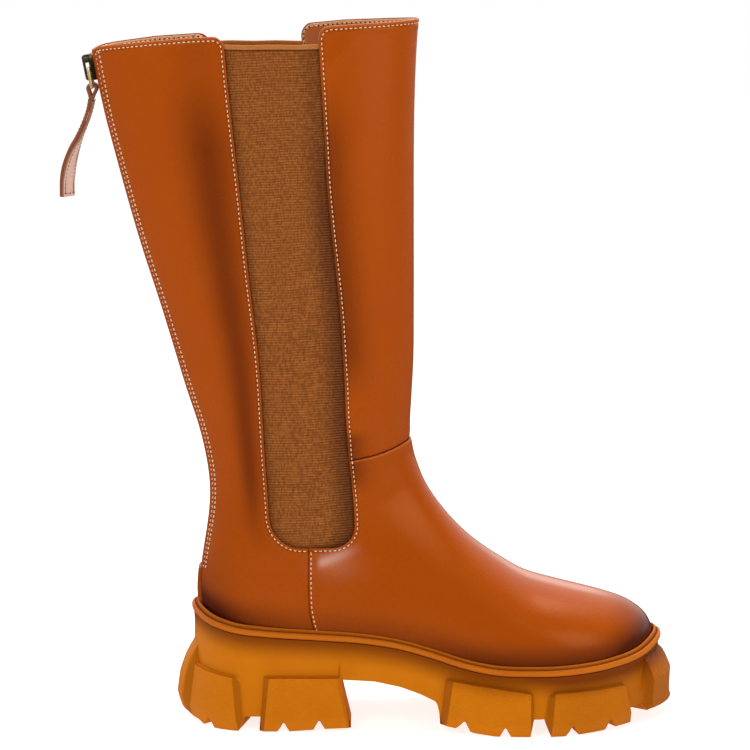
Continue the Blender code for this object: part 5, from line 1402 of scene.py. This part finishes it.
centre = Vector((LINK_FOOT[0], 0, LINK_FOOT[1] - STRAP_LOOP + 1.35 / 2 + PLY / 2 + 0.3))
neck = Vector((float(along(STRAP_TAIL, STRAP_NECK)[0]), 0, STRAP_NECK))
turns = [math.radians(turn) for turn in np.linspace(-25, 205, 25)]
ring = [centre + STRAP_LOOP * Vector((math.cos(t), 0, math.sin(t))) for t in turns]
left, right = ring[-1], ring[0]
ring += [left.lerp(neck, share) + Vector((0.25 * math.sin(math.pi * share), 0, 0)) for share in (0.25, 0.5, 0.75)]
ring += [neck] + [neck.lerp(right, share) - Vector((0.25 * math.sin(math.pi * share), 0, 0)) for share in (0.25, 0.5, 0.75)]
loops = []
for k, point in enumerate(ring):
    run = (ring[(k + 1) % len(ring)] - ring[k - 1]).normalized()
    if point is neck:
        run = Vector((1, 0, 0))
    loops.append(ply_section(point, Vector((0, 1, 0)), Vector((run.z, 0, -run.x)), STRAP_WIDE, PLY))
loop_piece = lofted("strap_loop", loops, strap_leather, closed=True)
plies = [[], []]
tail_frames = []
for z in np.linspace(TAIL_FOOT, STRAP_NECK + PLY / 2, TAIL_LOOPS):
    x, degrees = along(STRAP_TAIL, z)
    slope = along(STRAP_TAIL, z + 1)[0] - along(STRAP_TAIL, z - 1)[0]
    run = Vector((slope, 0, 2)).normalized()
    turn = math.radians(degrees)
    cross = Vector((0, math.cos(turn), 0)) + math.sin(turn) * Vector((run.z, 0, -run.x))
    out = run.cross(cross).normalized()
    middle = Vector((x, 0, z))
    tail_frames.append((middle, cross, out, run))
    thin = PLY * (1.04 + 0.05 * math.sin(z / 2.9))
    for ply, way in ((plies[0], 1), (plies[1], -1)):
        ply.append(ply_section(middle + out * way * (thin / 2 + 0.04), cross, out, STRAP_WIDE - 0.1 * way, thin))
tail_pieces = [lofted("strap_ply", ply, strap_leather) for ply in plies]


def paint_strap(piece, flesh_side):
    """Marks the flesh side and the cut edges."""
    mesh = piece.data
    flesh_values = np.zeros(len(mesh.vertices), dtype=np.float32)
    cut_values = np.zeros(len(mesh.vertices), dtype=np.float32)
    middles = np.array([frame_at[0] for frame_at in tail_frames])
    for vertex in mesh.vertices:
        spot = vertex.co / MM
        at = int(np.argmin(np.abs(middles[:, 2] - spot.z)))
        middle, cross, out, run = tail_frames[at]
        off = Vector(spot) - middle
        flesh_values[vertex.index] = float(flesh_side * off.dot(out) > 0.5)
        cut_values[vertex.index] = 0.75 * float(abs(off.dot(cross)) > STRAP_WIDE / 2 - 0.14)
    for label, values in (("flesh", flesh_values), ("cut", cut_values)):
        mesh.attributes.new(label, "FLOAT", "POINT").data.foreach_set("value", values)


for piece, flesh_side in ((loop_piece, 0), (tail_pieces[0], 0), (tail_pieces[1], -1)):
    paint_strap(piece, flesh_side)
strap = joined("pull_strap_leather", [loop_piece] + tail_pieces)
strap.data.shade_smooth()
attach(strap, "pull")
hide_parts("pull_strap")
strap_points, strap_out, strap_edges = [], [], []
for way in (1, -1):
    for offset in (-STRAP_WIDE / 2 + 1.4, STRAP_WIDE / 2 - 1.4):
        line = [frame_at for frame_at in tail_frames if frame_at[0].z > TAIL_FOOT + 2.0]
        start = len(strap_points)
        strap_points += [np.array(m + c * offset + o * way * (PLY + 0.04)) for m, c, o, r in line]
        strap_out += [np.array(o * way) for m, c, o, r in line]
        strap_edges += [(start + k, start + k + 1) for k in range(len(line) - 1)]
    m, c, o, r = tail_frames[3]
    start = len(strap_points)
    strap_points += [np.array(m + c * offset + o * way * (PLY + 0.04)) for offset in np.linspace(-3.1, 3.1, 8)]
    strap_out += [np.array(o * way)] * 8
    strap_edges += [(start + k, start + k + 1) for k in range(7)]
strap_thread, strap_thread_tree, strap_thread_shader = new_material("brown_polyester_thread")
# Spun polyester in dark brown, matt: it reads as a row of dark dashes on the pale flesh side.
place = add_node(strap_thread_tree, "ShaderNodeTexCoord").outputs["Object"]
spun = add_node(strap_thread_tree, "ShaderNodeTexNoise", {"Vector": place, "Scale": 1600.0})
colour = add_node(strap_thread_tree, "ShaderNodeMix", {"Factor": spun.outputs["Fac"], 6: linear("#6E3A22"),
                  7: linear("#8E5434")}, data_type="RGBA")
strap_thread_tree.links.new(colour.outputs[2], strap_thread_shader.inputs["Base Color"])
strap_thread_shader.inputs["Roughness"].default_value = 0.8
# Its needle holes are dark discs of painted shade.
strap_sizes = dict(stitch_sizes, Pitch=2.1 * MM, Hole=0.7 * MM, Thread=0.5 * MM,
                   **{"Stitch length": 1.3 * MM, "Thread material": strap_thread})
strap_seams = grow("pull_strap_stitching", edge_mesh(np.array(strap_points), np.array(strap_out), np.array(strap_edges)),
                   stitch_nodes, strap_sizes)
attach(strap_seams, "pull")
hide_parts("pull_strap")

# ---------------------------------------------------------------- insole
# Padded insole board covered in pigskin, laid on the sole's top face inside the upper.
INSOLE_INSET, INSOLE_THICK, INSOLE_CROWN = 3.8, 3.2, 0.5

insole_skin, insole_tree, insole_shader = new_material("pigskin_insole_cover")
# Glazed pigskin: pale tan, groups of three pores, a dull polish where the foot treads.
place = add_node(insole_tree, "ShaderNodeTexCoord").outputs["Object"]
hide = add_node(insole_tree, "ShaderNodeTexNoise", {"Vector": place, "Scale": 60.0, "Detail": 5.0})
colour = add_node(insole_tree, "ShaderNodeMix", {"Factor": hide.outputs["Fac"], 6: linear("#D2A068"), 7: linear("#B57F48")},
                  data_type="RGBA")
insole_tree.links.new(colour.outputs[2], insole_shader.inputs["Base Color"])
insole_shader.inputs["Roughness"].default_value = 0.6
pits = add_node(insole_tree, "ShaderNodeTexVoronoi", {"Vector": place, "Scale": 450.0})
relief = add_node(insole_tree, "ShaderNodeBump", {"Strength": 0.25, "Distance": 0.0004, "Height": pits.outputs["Distance"]})
insole_tree.links.new(relief.outputs["Normal"], insole_shader.inputs["Normal"])
turns = np.linspace(0.06, math.pi - 0.06, 130)
stations = (HEEL_BACK + TOE_TIP) / 2 - (TOE_TIP - HEEL_BACK) / 2 * np.cos(turns)
loops = []
for x in stations:
    near, far = (np.array(outline(x, side, -INSOLE_INSET)) for side in (LATERAL, MEDIAL))
    share = np.linspace(0, 1, 15)[:, None]
    line = near + (far - near) * share
    dish = INSOLE_THICK - INSOLE_CROWN * np.sin(math.pi * share[:, 0]) - 0.5 * (1 - np.sin(math.pi * share[:, 0])) ** 6
    top = [(p[0], p[1], seat(x) + rise) for p, rise in zip(line, dish)]
    loops.append([(*near, seat(x)), (*far, seat(x))] + top[::-1])
insole = lofted("insole_padded", loops, insole_skin, sharp=50)
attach(insole, "boot")
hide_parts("insole")

# ---------------------------------------------------------------- welt
# Moulded rand round the foot: a narrow ridge against the leather, a groove, and a rounded outer
# band, with a fine parting line under the band.
WELT_GAP, RIDGE_WIDTH, RIDGE_REACH, PROBE = 0.35, 1.35, 2.1, 14.0
WELT_PROFILE = (  # reach beyond the feather line, height from the welt's top
    (3.7, -5.1), (4.1, -4.95), (4.45, -4.5), (4.6, -3.9), (4.62, -3.2), (4.5, -2.5), (4.2, -1.95), (3.8, -1.65),
    (3.4, -1.5), (3.0, -1.55), (2.75, -1.75), (2.6, -2.1), (2.45, -2.3), (2.3, -2.0),
)
RING_STEP = 1.3


def side_stations(step):
    """Feather-line stations of one side at even steps, and how far along each lies."""
    ends = HEEL_CAP * math.pi / 2, TOE_TIP - TOE_CAP - HEEL_BACK - HEEL_CAP, TOE_CAP * math.pi / 2
    run = np.linspace(0, sum(ends), int(sum(ends) / step))
    return run, station_at(run)


def station_at(run):
    """Feather-line station x at a distance from the heel's back, round its cap and along the side."""
    heel, side = HEEL_CAP * math.pi / 2, TOE_TIP - TOE_CAP - HEEL_BACK - HEEL_CAP
    x = HEEL_BACK + HEEL_CAP * (1 - np.cos(np.clip(run / HEEL_CAP, 0, math.pi / 2)))
    x = np.where(run > heel, HEEL_BACK + HEEL_CAP + run - heel, x)
    turn = np.clip((run - heel - side) / TOE_CAP, 0, math.pi / 2)
    return np.where(run > heel + side, TOE_TIP - TOE_CAP + TOE_CAP * np.sin(turn), x)


def leather_reach(x, side, z):
    """How far the upper stands beyond its feather line at height z, beside station x."""
    inner, outer = (Vector((*outline(x, side, reach), z)) for reach in (-PROBE, PROBE))
    hit = outer_tree.ray_cast(outer, (inner - outer).normalized())[0]
    return max(0.0, PROBE - (hit - outer).length) if hit else 0.0


moulded_welt, welt_tree, welt_shader = new_material("moulded_rubber_welt")
# Injection-moulded thermoplastic rubber, honey tan with painted shade under its band, in its groove and against the
# leather, satin.
place = add_node(welt_tree, "ShaderNodeTexCoord").outputs["Object"]
blend = add_node(welt_tree, "ShaderNodeTexNoise", {"Vector": place, "Scale": 45.0, "Detail": 4.0})
groove_shade = add_node(welt_tree, "ShaderNodeAttribute", attribute_name="groove_shade")
tone = add_node(welt_tree, "ShaderNodeMix", {"Factor": blend.outputs["Fac"], 6: linear("#CB6C18"), 7: linear("#BA6012")},
                data_type="RGBA")
colour = add_node(welt_tree, "ShaderNodeMix", {"Factor": groove_shade.outputs["Fac"], 6: tone.outputs[2], 7: linear("#6E3208")},
                  data_type="RGBA")
welt_tree.links.new(colour.outputs[2], welt_shader.inputs["Base Color"])
welt_shader.inputs["Roughness"].default_value = 0.46
welt_shader.inputs["Specular IOR Level"].default_value = 0.2
welt_shader.inputs["Specular Tint"].default_value = linear("#FFB070")
speck = add_node(welt_tree, "ShaderNodeTexNoise", {"Vector": place, "Scale": 900.0, "Detail": 2.0})
relief = add_node(welt_tree, "ShaderNodeBump", {"Strength": 0.12, "Distance": 0.0003, "Height": speck.outputs["Fac"]})
welt_tree.links.new(relief.outputs["Normal"], welt_shader.inputs["Normal"])
_, stations = side_stations(RING_STEP)
loops = []
for side, xs in ((LATERAL, stations[:-1]), (MEDIAL, stations[:0:-1])):
    highs = np.array([leather_reach(x, side, along(WELT_TOP, x)[0] - 0.3) for x in xs])
    lows = np.array([leather_reach(x, side, along(WELT_TOP, x)[0] - 4.8) for x in xs])
    for x, high, low in zip(xs, highs + WELT_GAP, lows + WELT_GAP):
        top = along(WELT_TOP, x)[0]
        wide = max(high + 0.5, min(high + RIDGE_WIDTH, RIDGE_REACH))
        ridge = [(wide, -0.7), (wide - 0.12, 0.1), (0.5 * (wide + high), 0.4), (high, 0.2), (low, -5.1)]
        loops.append([(*outline(x, side, reach), top + z) for reach, z in [*WELT_PROFILE, *ridge]])
# Painted shade at each point of the profile: under the band, in the groove and against the leather.
GROOVE_SHADES = (0.8, 0.7, 0.3, 0.05, 0, 0, 0, 0.05, 0.1, 0.3, 0.6, 1.0, 1.0, 0.9, 0.35, 0.15, 0.1, 0.7, 1.0)
welt = lofted("welt_moulded", loops, moulded_welt, closed=True)
layer = welt.data.attributes.new("groove_shade", "FLOAT", "POINT")
if len(welt.data.vertices) == len(loops) * len(GROOVE_SHADES):
    layer.data.foreach_set("value", np.tile(GROOVE_SHADES, len(loops)).astype(np.float32))
else:
    print("WELT MERGED", len(welt.data.vertices), len(loops) * len(GROOVE_SHADES))
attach(welt, "boot")
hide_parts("welt")

# ---------------------------------------------------------------- outsole
# One moulding of thermoplastic rubber: a concave wall under the welt, an arch, and a tread of
# bars that stand out at the edge, notched below, with textured outer faces and chamfered ends.
FLOOR_OF_BODY = (  # x, underside of the sole between the bars
    (-54, 12.0), (-42, 9.0), (-20, 8.2), (35.8, 8.2), (38.2, 29.4), (62, 28.2), (76, 25.4), (88, 21.4), (97, 17.4),
    (100.6, 10.4), (150, 9.6), (205, 10.6), (236, 16.0),
)
FULL_FLOOR = (  # the same with the arch filled up, to which the wall flares
    (-54, 12.0), (-42, 9.0), (-20, 8.2), (60, 8.2), (100, 10.0), (150, 9.6), (205, 10.6), (236, 16.0),
)
SPRING = (  # x, height of the tread's lowest face above the floor
    (-40, 4.6), (-35, 2.6), (-29, 0.4), (-25, 0.0), (13, 0.0), (50, 2.8), (96, 7.4), (108, 4.2), (118, 1.6),
    (130, 0.0), (168, 0.0), (186, 1.2), (204, 3.4), (216, 6.6), (236, 12.0),
)
WALL_SHAPE = ((0.0, 3.6), (0.14, 3.2), (0.45, 3.8), (0.75, 4.8), (1.0, 6.4))
WALL_SHARES = (0.0, 0.03, 0.07, 0.14, 0.22, 0.3, 0.4, 0.5)
EDGE_LUGS = (  # foot and full face at the rear, full face and foot at the front; lean of each at the
    # floor; top at each end; depth; whether each end is square; notches at
    ((-36.8, -35.2, -16.8, -13.3), (-0.5, -0.5, 3.2, 3.2), (33.0, 30.5), 16.0, (False, False), (-27.2,)),
    ((-0.6, 1.9, 39.9, 41.8), (-3.0, -3.0, 7.1, 7.1), (30.6, 30.6), 16.0, (True, True), (10.2, 30.3)),
    ((102.5, 106.1, 150.1, 152.0), (-4.5, -4.5, -0.4, -0.4), (30.6, 24.5), 22.0, (True, False), (112.7, 135.6)),
    ((160.3, 163.7, 199.7, 202.0), (-4.3, -2.7, 3.0, 3.0), (24.5, 24.9), 22.0, (False, False), (171.9, 191.4)),
)
HEEL_LUG = ((44.5, 3.0), (35, 8.4), (25, 12.0), (14, 13.6), (5.4, 11.4))
TOE_LUG = ((37.0, 3.0), (33.5, 7.0), (25, 10.6), (15, 10.2), (5.8, 6.8))
LUG_REACH, LUG_FOOT_REACH, CHIN_HIGH, CHIN_DEEP = 6.9, 10.2, 6.5, 1.2
BREAST = 1                              # this bar's front end stands upright on the medial side
NOTCH_DEEP, NOTCH_HALF, HEEL_DEEP, TOE_DEEP, SQUARE_REACH, END_STEP = 4.9, 3.2, 12.0, 18.0, 0.35, 0.5
END_REACH = 4.4                         # reach that a square end turns in towards
MIDDLE_LUGS = ((-16, 12, 9.5), (18, 38, 9.5), (106, 126, 10.0), (132, 156, 15.0), (162, 184, 14.0))


def run_at(x):
    """Distance along the side at which feather-line station x lies."""
    heel, side = HEEL_CAP * math.pi / 2, TOE_TIP - TOE_CAP - HEEL_BACK - HEEL_CAP
    if x < HEEL_BACK + HEEL_CAP:
        return HEEL_CAP * math.acos((HEEL_BACK + HEEL_CAP - x) / HEEL_CAP)
    if x > TOE_TIP - TOE_CAP:
        return heel + side + TOE_CAP * math.asin(min(1.0, (x - TOE_TIP + TOE_CAP) / TOE_CAP))
    return heel + x - HEEL_BACK - HEEL_CAP


def on_segments(corners, counts):
    """Points along straight runs between corners, a fixed count for each run."""
    points = []
    for (a, b), count in zip(zip(corners, corners[1:]), counts):
        points += [np.array(a) + (np.array(b) - np.array(a)) * k / count for k in range(count)]
    return np.array(points + [np.array(corners[-1])])


SIDE_RUNS = (2, 2, 9, 2, 3, 2, 6, 2, 5)


def wall(x, share):
    """Point of the wall at a share of its visible height; its flare follows the sole's full height."""
    top, low = seat(x) - 0.3, float(np.interp(x, *np.array(FLOOR_OF_BODY).T))
    deep = share * (top - low)
    return float(along(WALL_SHAPE, deep / (top - np.interp(x, *np.array(FULL_FLOOR).T)))[0]), top - deep


def plain_side(x):
    """Wall and underside between the bars: reach beyond the feather line and height."""
    upper_wall = [wall(x, share) for share in WALL_SHARES]
    foot_reach, low = wall(x, 1.0)
    corners = [*(wall(x, share) for share in (0.5, 0.56, 0.6, 0.93, 0.97, 1.0)), (foot_reach - 0.8, low), (-8.0, low),
               (-9.0, low), (-16.0, low)]
    return np.vstack([upper_wall[:-1], on_segments(corners, SIDE_RUNS)])


def lug_side(x, profile, depth, notch):
    """Section through a bar: wall, step out, outer face, chin, tread and inner end."""
    top = seat(x) - 0.3
    body = float(np.interp(x, *np.array(FLOOR_OF_BODY).T))
    lug_top, lug_reach = profile[0]
    start = (top - lug_top - 0.5) / (top - body)
    shares = np.array(WALL_SHARES) * start / 0.5
    upper_wall = [wall(x, share) for share in shares]
    foot_reach, foot = profile[-1]
    chin, face = profile[-2], profile[1]
    step = (lug_reach - 0.3, lug_top + 0.25)
    corners = [upper_wall[-1], step, (lug_reach, lug_top), chin, (foot_reach, foot + 0.6 + notch),
               (foot_reach - 0.5, foot + notch), (foot_reach - 1.2, foot + notch), (-depth, foot + notch),
               (-depth - 0.8, foot + notch + 1.2), (-depth - 2.4, body)]
    lines = on_segments(corners, SIDE_RUNS)
    begin = sum(SIDE_RUNS[:2])
    if len(profile) > 3:
        heights = lines[begin:begin + SIDE_RUNS[2] + 1, 1]
        table = np.array(profile[:-1])[::-1]
        lines[begin:begin + SIDE_RUNS[2] + 1, 0] = np.interp(heights, table[:, 0], table[:, 1])
    return np.vstack([upper_wall[:-1], lines])


def side_bars(side):
    """Every bar of one side, at distances along it: ends, leans, tops, profile, depth and notches."""
    end = run_at(TOE_TIP - TOE_CAP) + TOE_CAP * math.pi / 2
    bars = [((-2.0, -1.0, HEEL_CAP * 0.47, HEEL_CAP * 0.56), (0, 0, 0, 4.0), (0, 0), HEEL_LUG, HEEL_DEEP, (False, False), ())]
    for k, (stations, leans, tops, depth, square, notches) in enumerate(EDGE_LUGS):
        leans = (*leans[:2], 0.0, 0.0) if side == MEDIAL and k == BREAST else leans
        bars.append(([run_at(x) for x in stations], leans, tops, None, depth, square, [run_at(x) for x in notches]))
    bars.append(((end - 39.5, end - 37.7, end + 1, end + 2), (-7.0, 0, 0, 0), (0, 0), TOE_LUG, TOE_DEEP, (False, False), ()))
    return bars, end


def bar_section(run, x, low, bar):
    """A bar's section at a distance along the side, narrowed where a square end turns in."""
    runs, _, tops, table, depth, square, notches = bar
    if table:
        return lug_side(x, [*table[:-1], table[-1][::-1]], depth, 0.0)
    cut = max(NOTCH_DEEP * float(np.clip((NOTCH_HALF - abs(run - at)) / (NOTCH_HALF - 0.4), 0, 1)) for at in notches)
    top = tops[0] + (tops[1] - tops[0]) * bump_line(run, runs[1], runs[2])
    profile = ((top, LUG_REACH), (LUG_FOOT_REACH, low + CHIN_HIGH), (LUG_FOOT_REACH - CHIN_DEEP, low))
    section = lug_side(x, profile, depth, cut)
    narrow = 1.0
    if square[0]:
        narrow = min(narrow, SQUARE_REACH + (1 - SQUARE_REACH) * bump_line(run, runs[0], runs[1]))
    if square[1]:
        narrow = min(narrow, 1 - (1 - SQUARE_REACH) * bump_line(run, runs[2], runs[3]))
    outer = slice(len(WALL_SHARES) - 1 + sum(SIDE_RUNS[:1]), len(WALL_SHARES) - 1 + sum(SIDE_RUNS[:6]))
    section[outer, 0] = END_REACH + (section[outer, 0] - END_REACH) * narrow
    return section


def sole_sections(side):
    """Sections of one side from the heel's back to the toe's tip: points, face share, facet share."""
    bars, end = side_bars(side)
    knots = {0.0, end}
    for runs, _, _, _, _, square, notches in bars:
        knots |= {*runs, runs[1] - 0.1, runs[2] + 0.1}
        knots |= {runs[0] - END_STEP} if square[0] else set()
        knots |= {runs[3] + END_STEP} if square[1] else set()
        for at in notches:
            knots |= {at - NOTCH_HALF, at - 0.4, at + 0.4, at + NOTCH_HALF}
    marks = sorted(knot for knot in knots if 0 <= knot <= end)
    distances = []
    for low, high in zip(marks, marks[1:]):
        parts = max(1, math.ceil((high - low) / 1.5))
        distances += [low + (high - low) * k / parts for k in range(parts)]
    distances.append(end)
    sections, faces, facets = [], [], []
    for run in distances:
        x = float(station_at(np.array(run)))
        section, share, facet_shade, shift = plain_side(x), 0.0, 0.0, 0.0
        low = float(np.interp(x, *np.array(SPRING).T))
        for bar in bars:
            runs, leans, square = bar[0], bar[1], bar[5]
            first = bump_line(run, runs[0] - END_STEP, runs[0]) if square[0] else bump_line(run, runs[0], runs[1])
            last = bump_line(run, runs[3], runs[3] + END_STEP) if square[1] else bump_line(run, runs[2], runs[3])
            weight = first * (1 - last)
            shift += np.interp(run, (runs[0] - 6, *runs[:2], runs[1] + 6), (0, *leans[:2], 0))
            shift += np.interp(run, (runs[2] - 6, *runs[2:], runs[3] + 6), (0, *leans[2:], 0))
            if weight > 0:
                section = section * (1 - weight) + bar_section(run, x, low, bar) * weight
                share += weight
                facet_shade = float(run < runs[1] - 0.05 or (run > runs[2] + 0.05 and not square[1]))
        points = []
        for reach, z in section:
            slide = shift * np.clip(1 - z / 30.0, 0, 1)
            points.append((*outline(station_at(np.array(np.clip(run + slide, 0, end))), side, reach), z))
        sections.append(points + centre_under(run, x, float(section[-1][1]), points[-1]))
        faces.append(min(share, 1.0))
        facets.append(facet_shade)
    return sections, np.column_stack([faces, facets])


def bump_line(value, low, high):
    return float(np.clip((value - low) / (high - low), 0, 1))


def centre_under(run, x, z, last):
    """Points from the bar's inner end to the centre line of the underside."""
    turn = max(0.0, run - HEEL_CAP * math.pi / 2 - (TOE_TIP - TOE_CAP - HEEL_BACK - HEEL_CAP)) / TOE_CAP
    across = max(x, HEEL_BACK + HEEL_CAP)
    if turn > 0:
        across = TOE_TIP - TOE_CAP + (TOE_CAP - 42.0) * math.sin(min(turn, math.pi / 2))
    target = np.array((across, float(along(PLAN, across)[0]), float(np.interp(across, *np.array(FLOOR_OF_BODY).T))))
    last = np.array(last)
    return [tuple(last + (target - last) * k / 5) for k in range(1, 6)]


def outsole_shape():
    near, near_faces = sole_sections(LATERAL)
    far, far_faces = sole_sections(MEDIAL)
    loops = near[:-1] + far[:0:-1]
    shares = np.vstack([near_faces[:-1], far_faces[:0:-1]])
    count, size = len(loops), len(loops[0])
    points = [point for loop in loops for point in loop]
    faces = [(a * size + b, a * size + b + 1, (a + 1) % count * size + b + 1, (a + 1) % count * size + b)
             for a in range(count) for b in range(size - 1)]
    rows = len(near)
    mirror = [0] + [count - k for k in range(1, rows - 1)]
    top = []
    for k in range(rows - 2):
        a, b = k * size, (k + 1) * size
        c, d = ((count - k) % count) * size, ((count - k - 1) % count) * size
        top.append(tuple(dict.fromkeys((a, b, d, c))))
    a, tip, c = (rows - 2) * size, (rows - 1) * size, (count - rows + 2) * size
    top.append((a, tip, c))
    return points, faces + top, np.repeat(shares, size, axis=0), size


moulded_sole, sole_tree, sole_shader = new_material("moulded_thermoplastic_rubber")
# Moulded honey-caramel rubber, slightly cloudy, with painted shade under the welt, on the bars' chamfered
# ends and on the ledges above them, and darker towards the toe. The bars' outer faces are spark-eroded
# in the mould: a pebbled grain of about 1 mm.
place = add_node(sole_tree, "ShaderNodeTexCoord").outputs["Object"]
cloud = add_node(sole_tree, "ShaderNodeTexNoise", {"Vector": place, "Scale": 38.0, "Detail": 5.0, "Roughness": 0.55})
sole_shade = add_node(sole_tree, "ShaderNodeAttribute", attribute_name="sole_shade")
face_share = add_node(sole_tree, "ShaderNodeAttribute", attribute_name="bar_face")
facet_shade = add_node(sole_tree, "ShaderNodeAttribute", attribute_name="facet_shade")
tone = add_node(sole_tree, "ShaderNodeMix", {"Factor": cloud.outputs["Fac"], 6: linear("#D67C12"), 7: linear("#C66C08")},
                data_type="RGBA")
# Painted shade on the bars' chamfered ends and on the ledges above them.
tone = add_node(sole_tree, "ShaderNodeMix", {"Factor": facet_shade.outputs["Fac"], 6: tone.outputs[2], 7: linear("#8A4408")},
                data_type="RGBA")
# Towards a deep brown: painted shade under the welt, and darker towards the toe.
colour = add_node(sole_tree, "ShaderNodeMix", {"Factor": sole_shade.outputs["Fac"], 6: tone.outputs[2], 7: linear("#7A3604")},
                  data_type="RGBA")
sole_tree.links.new(colour.outputs[2], sole_shader.inputs["Base Color"])
sole_shader.inputs["Roughness"].default_value = 0.5
sole_shader.inputs["Specular IOR Level"].default_value = 0.15
sole_shader.inputs["Specular Tint"].default_value = linear("#FFB070")
pebble = add_node(sole_tree, "ShaderNodeTexVoronoi", {"Vector": place, "Scale": 950.0}, feature="SMOOTH_F1")
fine = add_node(sole_tree, "ShaderNodeTexNoise", {"Vector": place, "Scale": 1300.0, "Detail": 2.0})
rough_face = add_node(sole_tree, "ShaderNodeMath", {0: pebble.outputs["Distance"], 1: face_share.outputs["Fac"]},
                      operation="MULTIPLY")
height = add_node(sole_tree, "ShaderNodeMath", {0: fine.outputs["Fac"], 1: 0.25, 2: rough_face.outputs[0]},
                  operation="MULTIPLY_ADD")
relief = add_node(sole_tree, "ShaderNodeBump", {"Strength": 0.5, "Distance": 0.0007, "Height": height.outputs[0]})
sole_tree.links.new(relief.outputs["Normal"], sole_shader.inputs["Normal"])
points, faces, shares, size = outsole_shape()
sole_mesh = bpy.data.meshes.new("outsole_moulded")
sole_mesh.from_pydata((np.array(points, dtype=float) * MM).tolist(), [], faces)
spots = np.array(points, dtype=float)
below_welt = along(WELT_TOP, spots[:, 0])[:, 0] - spots[:, 2]
# Painted shade under the welt, and darker towards the toe.
sole_shade_values = 0.95 * (1 - bump(below_welt, 5.0, 20.0)) + 0.22 * bump(spots[:, 0], 195, 228) + 0.26 * bump(spots[:, 0], 135, 185)
column = np.tile(np.arange(size), len(spots) // size)
begin = len(WALL_SHARES) - 1 + sum(SIDE_RUNS[:2])
on_face = ((column >= begin) & (column <= begin + SIDE_RUNS[2])) * (shares[:, 0] > 0.98) * (1 - shares[:, 1])
# Painted shade on the bars' chamfered ends, and on the ledge above each bar.
on_facet = ((column >= begin) & (column <= begin + SIDE_RUNS[2] + 4)) * (shares[:, 0] > 0.02) * shares[:, 1]
on_facet = np.maximum(on_facet, ((column == begin - 1) | (column == begin - 2)) * (shares[:, 0] > 0.5))
for label, values in (("sole_shade", sole_shade_values), ("bar_face", on_face), ("facet_shade", 0.5 * on_facet)):
    layer = sole_mesh.attributes.new(label, "FLOAT", "POINT")
    layer.data.foreach_set("value", np.clip(values, 0, 1).astype(np.float32))
work = bmesh.new()
work.from_mesh(sole_mesh)
bmesh.ops.remove_doubles(work, verts=work.verts, dist=0.004 * MM)
bmesh.ops.recalc_face_normals(work, faces=work.faces)
work.to_mesh(sole_mesh)
work.free()
sole_mesh.shade_smooth()
sole_mesh.set_sharp_from_angle(angle=math.radians(24))
sole_mesh.materials.append(moulded_sole)
outsole = bpy.data.objects.new("outsole_moulded", sole_mesh)
scene.collection.objects.link(outsole)
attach(outsole, "boot")
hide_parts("outsole")
blocks = []
for rear, front, half in MIDDLE_LUGS:
    low = max(np.interp((rear, front), *np.array(SPRING).T))
    shift = float(along(PLAN, (rear + front) / 2)[0])
    loops = []
    for z, inset in ((15.0, 0.0), (low + 1.2, 0.0), (low, 1.0)):
        x0, x1, wide = rear + inset, front - inset, half - inset
        loops.append([(x0, shift - wide, z), (x1, shift - wide + 2, z), (x1, shift + wide - 2, z), (x0, shift + wide, z)])
    blocks.append(softened(lofted("tread_block", loops, moulded_sole), 0.5))
tread = joined("tread_blocks", blocks)
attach(tread, "boot")
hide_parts("outsole")
